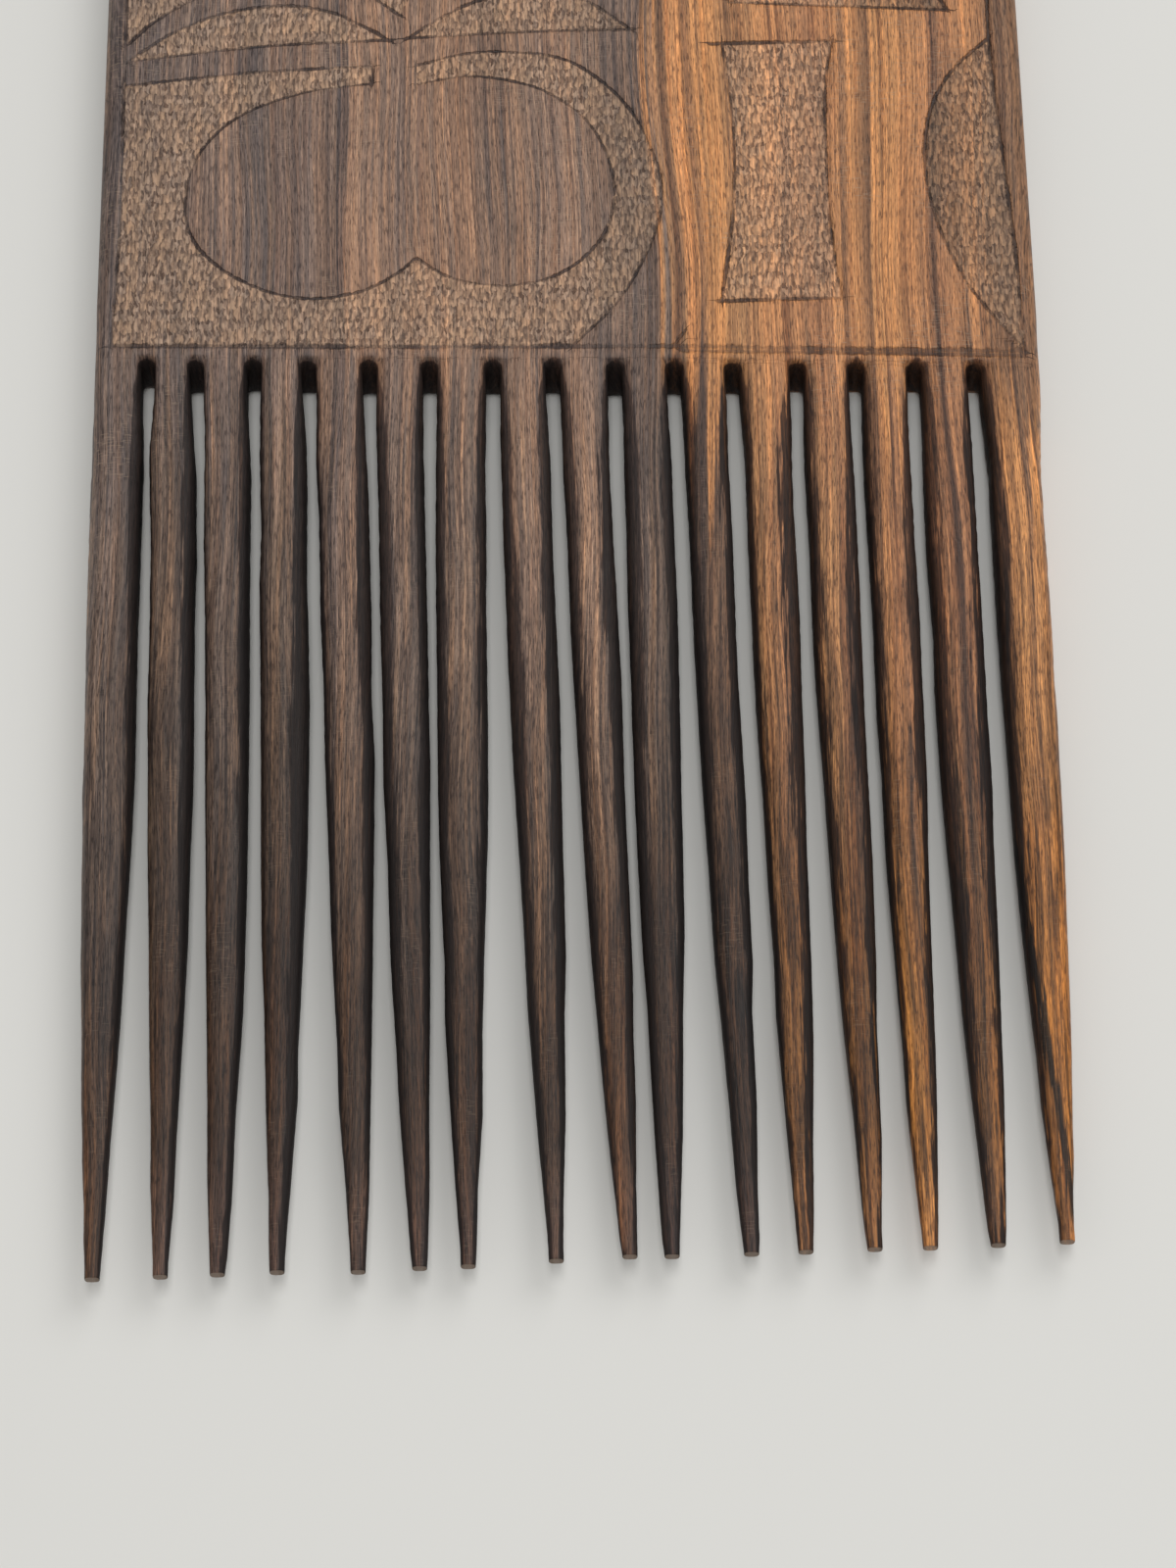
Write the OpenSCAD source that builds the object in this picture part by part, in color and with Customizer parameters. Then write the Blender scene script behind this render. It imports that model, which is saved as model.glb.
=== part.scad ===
// Hand-carved wooden afro pick: a flat, thick panel with sixteen long tapering tines.
// The comb lies on its back: X runs across it, +Y towards the top of the panel, +Z out of the
// carved front. The origin is under the middle of its box, on the back face.

/* [Comb] */
// Width across the whole comb
comb_w = 100; // [85:1:120]
// Thickness of the wood at the panel
comb_t = 7; // [5:0.25:9]

/* [Panel] */
// Height of the panel, from the slots' round ends to the middle of its top edge
panel_h = 90.5; // [65:0.5:120]
// Radius of the panel's two top corners
corner_r = 12; // [8:1:20]
// Rise of the arched top edge over its two ends
top_rise = 4; // [2:0.5:8]
// Rounding of the panel's long sides
side_round = 2; // [1:0.25:2.25]
// How far down from the top edge its flatter rounding reaches
top_round = 4.5; // [2:0.25:7]

/* [Tines] */
// Length of the middle tines, from the slots' round ends to the tips
tine_l = 100.5; // [80:0.5:130]
// Gap between two neighbouring tines where they are at their fullest
full_gap = 1.3; // [0.9:0.1:1.8]
// Width of a slot at its round end
slot_w = 1.5; // [1:0.1:2]
// Bevel cut round the mouth of each slot end, on both faces
rim_bevel = 0.4; // [0.2:0.05:0.6]
// Width of the blunt tips
tip_w = 1.45; // [1:0.05:2.2]
// Thickness of the blunt tips
tip_t = 1.3; // [0.9:0.05:2.2]

/* [Hidden] */
// Slots and tines were laid out by eye, so both rows run a little out of square, in degrees
slot_line_tilt = -1.2;
tip_line_tilt = 1.6;

tine_count = 16;
last_tine = tine_count - 1;
pitch = comb_w / tine_count;
half_w = comb_w / 2;
mid_z = comb_t / 2;
tine_w = pitch - full_gap;

// Where each slot strays from even spacing, left to right, as a share of the pitch
slot_shift_shares = [-0.09, -0.27, -0.30, -0.38, -0.35, -0.33, -0.26, -0.25,
                     -0.20, -0.20, -0.21, -0.12, -0.13, -0.14, -0.13];
// Where each tip strays from even spacing, as a share of the pitch
tip_shift_shares = [-0.02, 0.03, -0.09, -0.17, 0.08, 0.03, -0.22, 0.14,
                    0.28, -0.07, 0.16, 0.00, 0.07, -0.07, -0.02, 0.05];
// How far the middle of each tine bows to the right, as a share of the pitch
bow_shares = [0.02, 0.05, 0.08, 0.08, 0.03, -0.03, -0.03, 0.00,
              -0.04, 0.02, -0.03, 0.00, -0.04, -0.03, -0.03, -0.02];
// Full width of each tine, as a share of a usual one
width_shares = [1.07, 0.94, 0.94, 0.99, 1.03, 0.99, 1.05, 1.02,
                0.99, 1.01, 0.89, 0.95, 0.98, 0.96, 1.04, 1.09];
// How far each tip stops short of the line of tips, as a share of its width
tip_short_shares = [0, 0, 0, 0, -0.20, -0.10, -0.10, 0.05,
                    0.15, 0.05, 0, 0, 0, -0.05, -0.05, 0];

// A tine reaches its full width at the first share of its length and tapers from the second
full_from_share = 0.12;
taper_from_share = 0.30;
taper_power = 2.1;
// Its thickness starts to taper nearer to the panel, and more evenly
thin_from_share = 0.12;
thin_power = 1.6;
// Squareness of a tine's section: high is a sawn slot wall, low is a rounded edge
sawn_power = 5;
rounded_power = 3;
rounded_from_share = 0.45;

// The tines are lofted through rings of points, and the panel through rings up its thickness
tine_rings = 15;
tine_sides = 16;
edge_rings = 5;
corner_steps = 8;
arch_steps = 16;
cut_over = 1;

// Heights on Y: the box of the comb is centred on the origin
tip_drop = -tan(tip_line_tilt) * tip_x(0);
slot_y = (tine_l + tip_drop - panel_h) / 2;
panel_top_y = slot_y + panel_h;

// Places of the slots and tips across the comb, and of their two lines
function slot_x(k) = (k + 1 + slot_shift_shares[k]) * pitch - half_w;
function slot_line_y(x) = slot_y + tan(slot_line_tilt) * x;
function tip_x(i) = (i + 0.5 + tip_shift_shares[i]) * pitch - half_w;
function tip_y(i) = slot_y - tine_l + tan(tip_line_tilt) * tip_x(i) + tip_short_shares[i] * tip_w;

// A tine's two edges at the slot line, where it grows out of the panel
function root_left(i) = i == 0 ? -half_w : slot_x(i - 1) + slot_w / 2;
function root_right(i) = i == last_tine ? half_w : slot_x(i) - slot_w / 2;
function root_x(i) = (root_left(i) + root_right(i)) / 2;
function root_w(i) = root_right(i) - root_left(i);

// Smooth step from 0 to 1, and how far a share t lies between two others
function clamp01(t) = max(0, min(1, t));
function smooth(t) = t * t * (3 - 2 * t);
function between(t, from, to) = clamp01((t - from) / (to - from));
function blend(a, b, t) = a + (b - a) * t;

// Centre, width and thickness of tine i at the share t of its length
function tine_x(i, t) = blend(root_x(i), tip_x(i), t) + bow_shares[i] * pitch * 4 * t * (1 - t);
function swell_w(i, t) = blend(root_w(i), tine_w * width_shares[i], smooth(between(t, 0, full_from_share)));
function tine_width(i, t) = blend(swell_w(i, t), tip_w, pow(between(t, taper_from_share, 1), taper_power));
function tine_thickness(t) = blend(comb_t, tip_t, pow(between(t, thin_from_share, 1), thin_power));

// Rounding of a tine's section: sawn walls soften down its length, and the comb's own sides
// are round from the start
function outer_side(i, a) = (i == 0 && cos(a) < 0) || (i == last_tine && cos(a) > 0);
function section_power(i, a, t) =
    outer_side(i, a) ? rounded_power
                     : blend(sawn_power, rounded_power, smooth(between(t, 0, rounded_from_share)));

// One coordinate of a superellipse from a cosine or sine
function squared_off(c, power) = sign(c) * pow(abs(c), 2 / power);

// A ring of a tine: it starts on the sloping slot line and squares up towards the tip
function tine_point(i, t, a) =
    let (p = section_power(i, a, t),
         off_x = squared_off(cos(a), p) * tine_width(i, t) / 2,
         start_y = slot_line_y(tine_x(i, 0) + off_x),
         z = mid_z + squared_off(sin(a), p) * tine_thickness(t) / 2)
    [tine_x(i, t) + off_x, blend(start_y, tip_y(i), t), z];

function ring_faces(rings, sides) = [
    for (j = [0 : rings - 2]) for (k = [0 : sides - 1])
        let (a = j * sides + k, b = j * sides + (k + 1) % sides)
        each [[a, b, a + sides], [b, b + sides, a + sides]]
];

// Skin over a stack of rings, closed by a flat face at each end
module loft(points, rings, sides) {
    first_cap = [for (k = [sides - 1 : -1 : 0]) k];
    last_cap = [for (k = [0 : sides - 1]) (rings - 1) * sides + k];
    polyhedron(points, [first_cap, each ring_faces(rings, sides), last_cap]);
}

module tine(i) {
    points = [
        for (j = [0 : tine_rings - 1]) for (k = [0 : tine_sides - 1])
            tine_point(i, j / (tine_rings - 1), k * 360 / tine_sides)
    ];
    color(i < tine_count * 0.6 ? "#4a3830" : "#7d5230")
        loft(points, tine_rings, tine_sides);
}

// Outline of the panel drawn in by the rounding: its sides by side_in, its top edge by top_in.
// It runs from the slot line's left end, along that line, and back over the arched top.
arch_r = (half_w * half_w + top_rise * top_rise) / (2 * top_rise);
function panel_outline(side_in, top_in) =
    let (w = half_w - side_in,
         top = panel_top_y - top_in,
         arch_y = top - arch_r,
         reach = arch_r - corner_r,
         centre_x = w - corner_r,
         centre_y = arch_y + sqrt(reach * reach - centre_x * centre_x),
         turn = acos(centre_x / reach))
    [
        [-w, slot_line_y(-w)],
        [w, slot_line_y(w)],
        for (s = [0 : corner_steps])
            let (a = turn * s / corner_steps)
            [centre_x + corner_r * cos(a), centre_y + corner_r * sin(a)],
        for (s = [1 : arch_steps - 1])
            let (a = blend(turn, 180 - turn, s / arch_steps))
            [arch_r * cos(a), arch_y + arch_r * sin(a)],
        for (s = [corner_steps : -1 : 0])
            let (a = turn * s / corner_steps)
            [-centre_x - corner_r * cos(a), centre_y + corner_r * sin(a)]
    ];

// The panel's edge is a half round on each side of its thickness: rings rise from the back
// face to the front face and follow two quarter ellipses
function edge_turn(k) = 90 * k / (edge_rings - 1);
edge_insets = [for (k = [0 : edge_rings - 1]) 1 - sin(edge_turn(k))];
edge_heights = [for (k = [0 : edge_rings - 1]) 1 - cos(edge_turn(k))];

module panel_blank() {
    lower = [for (k = [0 : edge_rings - 1]) [edge_insets[k], side_round * edge_heights[k]]];
    upper = [for (k = [edge_rings - 1 : -1 : 0]) [edge_insets[k], comb_t - side_round * edge_heights[k]]];
    rings = concat(lower, upper);
    outlines = [for (r = rings) panel_outline(side_round * r[0], top_round * r[0])];
    sides = len(outlines[0]);
    points = [for (k = [0 : len(rings) - 1]) for (p = outlines[k]) [p[0], p[1], rings[k][1]]];
    loft(points, len(rings), sides);
}

// The round end of a slot, centred on the thickness, with its mouth opened out on each face
module slot_mouth() {
    bevel_h = rim_bevel + cut_over;
    translate([0, 0, mid_z - rim_bevel])
        cylinder(r1 = slot_w / 2, r2 = slot_w / 2 + bevel_h, h = bevel_h, $fn = 32);
}

module slot_end() {
    cylinder(d = slot_w, h = comb_t + 2 * cut_over, center = true, $fn = 32);
    slot_mouth();
    mirror([0, 0, 1]) slot_mouth();
}

module panel() {
    color("#6b4a33")
        difference() {
            panel_blank();
            for (k = [0 : last_tine - 1])
                translate([slot_x(k), slot_line_y(slot_x(k)), mid_z])
                    slot_end();
        }
}

panel();
for (i = [0 : last_tine]) tine(i);
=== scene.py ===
import bpy
import bmesh
import numpy as np
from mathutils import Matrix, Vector


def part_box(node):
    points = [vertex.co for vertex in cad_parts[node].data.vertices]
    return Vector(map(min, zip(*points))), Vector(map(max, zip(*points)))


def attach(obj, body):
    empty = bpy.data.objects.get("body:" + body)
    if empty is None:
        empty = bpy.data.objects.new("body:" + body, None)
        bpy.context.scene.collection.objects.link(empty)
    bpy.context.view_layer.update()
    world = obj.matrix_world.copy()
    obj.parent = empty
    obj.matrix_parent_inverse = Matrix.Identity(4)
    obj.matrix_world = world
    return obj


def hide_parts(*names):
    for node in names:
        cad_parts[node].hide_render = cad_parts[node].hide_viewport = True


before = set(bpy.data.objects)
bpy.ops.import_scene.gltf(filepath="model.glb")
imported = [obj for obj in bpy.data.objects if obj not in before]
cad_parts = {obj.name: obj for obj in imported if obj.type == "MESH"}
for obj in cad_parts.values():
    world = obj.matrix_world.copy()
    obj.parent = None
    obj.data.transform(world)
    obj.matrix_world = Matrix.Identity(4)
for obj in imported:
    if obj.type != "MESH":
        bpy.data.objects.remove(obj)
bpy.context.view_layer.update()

# A hand-carved wooden afro pick, lying on its back on a pale table.
# Lengths are worked out in millimetres and turned to metres when a mesh is made.
mm = 0.001
bodyName = "root"
spots = 64                    # random heights repeat after this many steps
# One seed for each thing that strays
seeds = {"knife": 11, "saw": 12, "face": 13, "stroke": 14, "dish": 21,
         "marks": 31, "rows": 33, "rowsFine": 34}


# Small helpers

def clamp01(t):
    return np.clip(t, 0.0, 1.0)


def smooth(t):
    # Three t squared less two t cubed, held between 0 and 1
    t = clamp01(t)
    return t * t * (3.0 - 2.0 * t)


def between(t, start, end):
    # How far t has come on the way from start to end, held between 0 and 1
    return clamp01((t - start) / (end - start))


def blend(a, b, t):
    return a + (b - a) * t


def slopeOf(degrees):
    return np.tan(np.radians(degrees))


def randomHeights(seed):
    return np.random.default_rng(seed).uniform(-1.0, 1.0, (spots, spots))


def unevenness(u, v, seed):
    # Random heights from -1 to 1 on whole numbers of u and v, joined by smooth steps
    heights = randomHeights(seed)
    iu, iv = np.floor(u).astype(int), np.floor(v).astype(int)
    fu, fv = smooth(u - iu), smooth(v - iv)
    near = blend(heights[iu % spots, iv % spots], heights[(iu + 1) % spots, iv % spots], fu)
    far = blend(heights[iu % spots, (iv + 1) % spots], heights[(iu + 1) % spots, (iv + 1) % spots], fu)
    return blend(near, far, fv)


def facets(u, row, seed):
    # Random heights from -1 to 1 on whole numbers of u, joined by straight lines, as a knife leaves them
    heights = randomHeights(seed)
    iu, iv = np.floor(u).astype(int), row.astype(int)
    return blend(heights[iu % spots, iv % spots], heights[(iu + 1) % spots, iv % spots], u - iu)


def gridFaces(rows, columns):
    # Four corners of every cell of a grid whose points are stored row by row
    first = (np.arange(rows - 1)[:, None] * columns + np.arange(columns - 1)).ravel()
    return np.stack([first, first + 1, first + columns + 1, first + columns], axis=1).tolist()


# Layout of the comb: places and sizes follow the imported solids

panelLow, panelHigh = (np.array(corner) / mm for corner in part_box("panel"))
tineCount = 16

comb = {
    "slotLineTilt": -1.2,     # degrees, the row of slots runs down to the right
    "slotWidth": 1.5,
    "fullGap": 1.3,           # between two tines where they are at their fullest
    "tipWidth": 1.45,
    "tipThickness": 1.3,
    # Each slot, tine tip and bow strays by a share of the distance between two tines, and each
    # tine's full width is a share of the usual one, from the left tine to the right one
    "slotShiftShares": [-0.09, -0.27, -0.30, -0.38, -0.35, -0.33, -0.26, -0.25,
                        -0.20, -0.20, -0.21, -0.12, -0.13, -0.14, -0.13],
    "tipShiftShares": [-0.02, 0.03, -0.09, -0.17, 0.08, 0.03, -0.22, 0.14,
                       0.28, -0.07, 0.16, 0.00, 0.07, -0.07, -0.02, 0.05],
    "bowShares": [0.02, 0.05, 0.08, 0.08, 0.03, -0.03, -0.03, 0.00,
                  -0.04, 0.02, -0.03, 0.00, -0.04, -0.03, -0.03, -0.02],
    "widthShares": [1.07, 0.94, 0.94, 0.99, 1.03, 0.99, 1.05, 1.02,
                    0.99, 1.01, 0.89, 0.95, 0.98, 0.96, 1.04, 1.09],
    "sawnPower": 5.0,         # squareness of a sawn wall
    "roundedPower": 3.0,      # squareness of a rounded edge
}

halfWidth = panelHigh[0]
thickness = panelHigh[2]
midZ = thickness / 2
pitch = 2 * halfWidth / tineCount
slotRadius = comb["slotWidth"] / 2
slotLineStart = panelLow[1] - slopeOf(comb["slotLineTilt"]) * halfWidth
slotX = (np.arange(1, tineCount) + np.array(comb["slotShiftShares"])) * pitch - halfWidth
tipX = (np.arange(tineCount) + 0.5 + np.array(comb["tipShiftShares"])) * pitch - halfWidth
tipY = np.array([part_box(f"tine_{i + 1:02d}")[0][1] for i in range(tineCount)]) / mm
rootLeft = np.concatenate([[-halfWidth], slotX + slotRadius])
rootRight = np.concatenate([slotX - slotRadius, [halfWidth]])
rootX = (rootLeft + rootRight) / 2
rootHalf = (rootRight - rootLeft) / 2


def slotLineY(x):
    return slotLineStart + slopeOf(comb["slotLineTilt"]) * x


# Section of a tine, shared by the tines and by the panel where they grow out of it

sideSteps = 5                 # from the middle of a side of the section to its corner


def squareRing():
    # Round a square of half side 1, from its lower right corner. Along each side the place is the
    # sine of an even angle, so the points crowd towards the corners.
    run = np.sin(np.radians(np.linspace(-90.0, 90.0, 2 * sideSteps + 1)))[:-1]
    one = np.ones_like(run)
    return np.concatenate([one, -run, -one, run]), np.concatenate([run, one, -run, -one])


def sectionPoints(powerRight, powerLeft):
    # Square ring drawn in to a superellipse: each point is divided by the power sum of its coordinates
    x, z = squareRing()
    power = np.where(x >= 0, np.asarray(powerRight)[..., None], np.asarray(powerLeft)[..., None])
    shrink = (np.abs(x) ** power + np.abs(z) ** power) ** (-1.0 / power)
    return x * shrink, z * shrink


ringSize = 8 * sideSteps
frontMiddle = 3 * sideSteps   # places in the ring: middle of the front, and of the back
backMiddle = 7 * sideSteps


# Mesh from numpy blocks

weldReach = 0.001             # millimetres: points closer than this are made one
sharpAngle = 62.0             # degrees: edges that turn by more stay sharp


def buildObject(name, points, faces, weld=False):
    # Points in millimetres and faces as lists of their numbers make one closed mesh at the origin
    mesh = bpy.data.meshes.new(name)
    mesh.from_pydata((points * mm).tolist(), [], faces)
    shell = bmesh.new()
    shell.from_mesh(mesh)
    if weld:
        bmesh.ops.remove_doubles(shell, verts=shell.verts, dist=weldReach * mm)
    bmesh.ops.recalc_face_normals(shell, faces=shell.faces)
    shell.to_mesh(mesh)
    shell.free()
    mesh.polygons.foreach_set("use_smooth", np.ones(len(mesh.polygons), dtype=bool))
    mesh.set_sharp_from_angle(angle=np.radians(sharpAngle))
    made = bpy.data.objects.new(name, mesh)
    bpy.context.scene.collection.objects.link(made)
    return made


def meshPoints(made):
    points = np.empty(len(made.data.vertices) * 3)
    made.data.vertices.foreach_get("co", points)
    return points.reshape(-1, 3) / mm


def writeValues(made, name, values):
    # One number, or three, for every vertex, for the materials to read
    kind, key = ("FLOAT", "value") if values.ndim == 1 else ("FLOAT_VECTOR", "vector")
    attribute = made.data.attributes.new(name, kind, "POINT")
    attribute.data.foreach_set(key, values.astype(np.float32).ravel())


# Tines

tine = {
    "rings": 260,
    "fullFromShare": 0.12,    # of the length: full width is reached here
    "taperFromShare": 0.30,   # and the taper starts here
    "taperPower": 2.1,
    "thinFromShare": 0.12,
    "thinPower": 1.6,
    "roundedFromShare": 0.45,
    "keptRoot": 0.05,         # shares of the length over which root and tip keep their shape
    "keptTip": 0.02,
    "knifeWander": 0.13,      # how far the knife strays at the edges
    "knifeStroke": 9.5,       # length of one knife stroke
    "strokeStray": 0.3,       # and how much that varies
    "sawWander": 0.050,       # ragged edge left by the saw near the panel
    "sawTooth": 0.85,         # length of one such notch
    "whittledFromShare": 0.6,     # of the length: from here on the knife has taken most saw marks
    "whittledOff": 0.7,       # this share of them
    "faceWander": 0.08,
    "faceStroke": 9.0,
    "tipRound": 0.10,         # softened edge of the blunt end
    "tipRings": 5,
    "slimPower": 0.6,         # how fast the dark edges narrow with the tine
    # The dark flanks are char and soil together with painted shade
    # How much wider than usual each tine's flanks have darkened, from the left tine to the right one
    "leftFlank": [0.0, -0.2, -0.2, -0.3, 0.15, 0.4, 0.4, 0.5, 0.3, 0.6, 0.15, -0.2, -0.2, -0.3, 0.2, 0.1],
    "rightFlank": [0.2, 0.3, 0.4, 0.85, 0.5, 0.4, 0.3, 0.65, 0.7, 0.4, 0.35, 1.05, 0.50, 0.55, 0.5, 0.0],
    "flankRun": 12.0,         # how far down from the panel they take to do so
    "flankWorn": 0.2,         # share of that which is worn off again further down
    "wornShares": (0.4, 0.75),    # of the length, between which it wears off
    # The sawn walls' dark deepens under the front as painted shade between the tines, over their char and
    # soil
    # Sawn walls: how far under the front their dark starts and how much further it is full, the
    # same across the tine's section as shares of its half width, and how much it adds
    "wallUnder": (0.3, 0.8),
    "wallAside": (0.8, 0.15),
}
uncut = 9.0                   # distance from a cut, in millimetres, that stands for none near
cleanRoot = 0.45              # how much narrower the dark edges are where a slot ends
cleanRun = 4.0                # and how far down the tine they take to widen
wallDark = 0.8                # how much nearer to the cut a sawn wall counts


def tineCentre(i, t):
    # A straight line from root to tip, with a bow of four t times one less t
    bow = comb["bowShares"][i] * pitch * 4 * t * (1 - t)
    return blend(rootX[i], tipX[i], t) + bow


def tineHalfWidth(i, t):
    # Swells smoothly from the root to the full width, then tapers by a power of the way to the tip
    full = (pitch - comb["fullGap"]) * comb["widthShares"][i]
    swell = blend(2 * rootHalf[i], full, smooth(between(t, 0, tine["fullFromShare"])))
    taper = between(t, tine["taperFromShare"], 1) ** tine["taperPower"]
    return blend(swell, comb["tipWidth"], taper) / 2


def tineHalfThickness(t):
    # Thins by a power of the way to the tip
    thin = between(t, tine["thinFromShare"], 1) ** tine["thinPower"]
    return blend(thickness, comb["tipThickness"], thin) / 2


def tineSurface(i):
    # A superellipse carried from the slot line to the tip, with half width and half thickness
    # that follow the share t of the length. Each edge strays a little, as saw and knife do, and the
    # last rings turn a quarter circle round the edge of the tip.
    length = slotLineY(rootX[i]) - tipY[i]
    turn = np.radians(np.linspace(0, 90, tine["tipRings"]))
    even = np.linspace(0.0, 1.0 - tine["tipRound"] / length, tine["rings"])
    t = np.concatenate([even, 1 - tine["tipRound"] * (1 - np.sin(turn[1:])) / length])
    tipIn = np.concatenate([np.zeros_like(even), tine["tipRound"] * (1 - np.cos(turn[1:]))])
    power = blend(comb["sawnPower"], comb["roundedPower"], smooth(t / tine["roundedFromShare"]))
    outside = np.full_like(t, comb["roundedPower"])
    unitX, unitZ = sectionPoints(outside if i == tineCount - 1 else power, outside if i == 0 else power)
    run = t * length
    free = smooth(t / tine["keptRoot"]) * smooth((1 - t) / tine["keptTip"])
    whittled = smooth(t / tine["whittledFromShare"])

    def stray(side):
        row = np.full_like(t, 2.0 * i + side)
        stroke = run / tine["knifeStroke"]
        stroke = stroke + tine["strokeStray"] * unevenness(stroke, row, seeds["stroke"])
        knife = facets(stroke, row, seeds["knife"]) * tine["knifeWander"]
        saw = unevenness(run / tine["sawTooth"], row, seeds["saw"]) * tine["sawWander"]
        return (knife + saw * (1 - tine["whittledOff"] * whittled)) * free

    # The comb's own two sides only stray inwards, and stay within its width
    inLeft, inRight = stray(0), stray(1)
    if i == 0:
        inLeft = np.abs(inLeft) + np.maximum(0, tineHalfWidth(i, t) - tineCentre(i, t) - halfWidth)
    if i == tineCount - 1:
        inRight = np.abs(inRight) + np.maximum(0, tineHalfWidth(i, t) + tineCentre(i, t) - halfWidth)
    face = unevenness(run / tine["faceStroke"], np.full_like(t, 1.0 * i), seeds["face"])
    strayFace = np.abs(face) * tine["faceWander"] * free
    half = tineHalfWidth(i, t)
    reach = np.where(unitX < 0, (half - inLeft - tipIn)[:, None], (half - inRight - tipIn)[:, None])
    rise = (tineHalfThickness(t) - tipIn)[:, None] - np.where(unitZ > 0, strayFace[:, None], 0)
    x = tineCentre(i, t)[:, None] + unitX * reach
    z = midZ + unitZ * rise
    y = blend(slotLineY(x[0])[None, :], tipY[i], t[:, None])
    # Distances across the tine from its two edges, wider where the tine is slim or joins the panel
    slim = (half[0] / half)[:, None] ** tine["slimPower"]
    (under, underFull), (aside, asideFull) = tine["wallUnder"], tine["wallAside"]
    # Painted shade on the sawn walls, deeper under the front: there they count as nearer to a cut
    inWall = smooth((rise * (1 - unitZ) - under) / underFull) * smooth((np.abs(unitX) - aside) / asideFull)
    inWall = inWall * (1 - whittled)[:, None]
    root = (cleanRoot * (1 - smooth(run / cleanRun)))[:, None] - wallDark * inWall
    worn = 1 - tine["flankWorn"] * smooth(between(t, *tine["wornShares"]))
    flank = (smooth(run / tine["flankRun"]) * worn)[:, None]
    away = np.stack([(1 + unitX) * half[:, None] * slim + root - tine["leftFlank"][i] * flank,
                     (1 - unitX) * half[:, None] * slim + root - tine["rightFlank"][i] * flank,
                     run[:, None] + 0 * x], -1)
    return np.stack([x, y, z], axis=-1), away


def makeTine(i):
    points, away = tineSurface(i)
    rings = len(points)
    first = np.arange(rings - 1)[:, None] * ringSize + np.arange(ringSize)
    after = np.arange(rings - 1)[:, None] * ringSize + (np.arange(ringSize) + 1) % ringSize
    sides = np.stack([first, after, after + ringSize, first + ringSize], axis=-1).reshape(-1, 4)
    faces = sides.tolist()
    faces.append(list(range(ringSize - 1, -1, -1)))
    faces.append(list(range((rings - 1) * ringSize, rings * ringSize)))
    made = buildObject(f"carved_tine_{i + 1:02d}", points.reshape(-1, 3), faces)
    # The comb's own two sides were never sawn
    if i == 0:
        away[..., 0] = uncut
    if i == tineCount - 1:
        away[..., 1] = uncut
    writeValues(made, "fromCut", away.reshape(-1, 3))
    # The last rings: paler worn end grain, with painted light on the end faces
    writeValues(made, "endGrainAndLight", np.repeat(np.arange(rings) >= rings - 2, ringSize).astype(float))
    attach(made, bodyName)
    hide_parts(f"tine_{i + 1:02d}")
    return made


tines = [makeTine(i) for i in range(tineCount)]
print("tines carved:", len(tines))


# Outline of the panel

panel = {
    "cornerRadius": 12.0,
    "topRise": 4.0,
    "sideRound": 2.0,
    "topRound": 4.5,
    "arcSteps": 60,           # points round a corner
    "roundPoints": 8,         # points round each of the edge's two roundings
    "fanHeight": 1.45,        # strip of the panel round the slot ends
    "fanSideSteps": 5,
    "slotColumns": 20,        # columns of the front between two tines' middles
    "fineRow": 0.31,          # row spacing on the lower half of the carving
    "coarseRow": 0.50,        # and above
    "fineUpTo": 50.0,
    "backRowStep": 17,        # the plain back keeps every so many of these rows
    "rootBlend": 8.0,         # the rounded sides take the outer tines' section within this
    "dish": 0.34,             # worn hollow round the mouth of each slot end
    "dishReach": 0.38,        # as a share of the way to the next tine's middle
    "dishStray": 0.5,         # how uneven it is,
    "dishWaves": (1.3, 3.7),  # and how fast that changes round an end and from slot to slot
    # How much lower the end of each slot lies on the back than on the front, as it was sawn
    "slotLean": [-0.35, 0.50, 0.20, 0.35, 0.55, 0.40, 0.35, 0.25, 0.50, 0.30, 0.05, -0.40, -0.40, -0.45,
                 -0.50],
    "carvedFrom": 1.9,        # carving bites from this far under the front, in full from this far
    "carvedFull": 0.4,
    # A slot's wall is painted darker inside, as char and soil and as painted shade in the slot
    "wallTop": 0.5,           # a slot's wall starts this far under the front,
    "wallBottom": 0.3,        # ends this far above the back,
    "wallFade": 0.6,          # and is darkest this much further in
    "farSide": 4.0,           # a wall that faces the other way counts as this much further off
}


def panelOutline(inset):
    # Up the left side, round the corner, along the arch and down again, drawn in by the rounding.
    # Returns the points and the three lengths: side with half its corner, top, and all.
    width = halfWidth - panel["sideRound"] * inset
    top = panelHigh[1] - panel["topRound"] * inset
    radius = panel["cornerRadius"]
    archRadius = (halfWidth ** 2 + panel["topRise"] ** 2) / (2 * panel["topRise"])
    archY = top - archRadius
    centreX = width - radius
    centreY = archY + np.sqrt((archRadius - radius) ** 2 - centreX ** 2)
    turn = np.arccos(centreX / (archRadius - radius))
    corner = np.linspace(0, turn, panel["arcSteps"])
    cornerX, cornerY = centreX + radius * np.cos(corner), centreY + radius * np.sin(corner)
    arch = np.linspace(np.pi - turn, turn, 4 * panel["arcSteps"])
    x = np.concatenate([[-width], -cornerX, archRadius * np.cos(arch)[1:-1], cornerX[::-1], [width]])
    startY, endY = slotLineY(-width), slotLineY(width)
    y = np.concatenate([[startY], cornerY, archY + archRadius * np.sin(arch)[1:-1], cornerY[::-1], [endY]])
    length = np.concatenate([[0], np.cumsum(np.hypot(np.diff(x), np.diff(y)))])
    leftSide = centreY - startY + radius * turn / 2
    rightSide = centreY - endY + radius * turn / 2
    return x, y, length, leftSide, rightSide


def outlinePlaces(inset, leftShares, topShares, rightShares):
    # Points of the outline at shares of its left side, of its top and of its right side
    x, y, length, leftSide, rightSide = panelOutline(inset)
    topLength = length[-1] - leftSide - rightSide
    runs = [leftShares * leftSide, leftSide + topShares * topLength, length[-1] - rightShares * rightSide]
    return [np.stack([np.interp(run, length, x), np.interp(run, length, y)], axis=-1) for run in runs]


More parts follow.
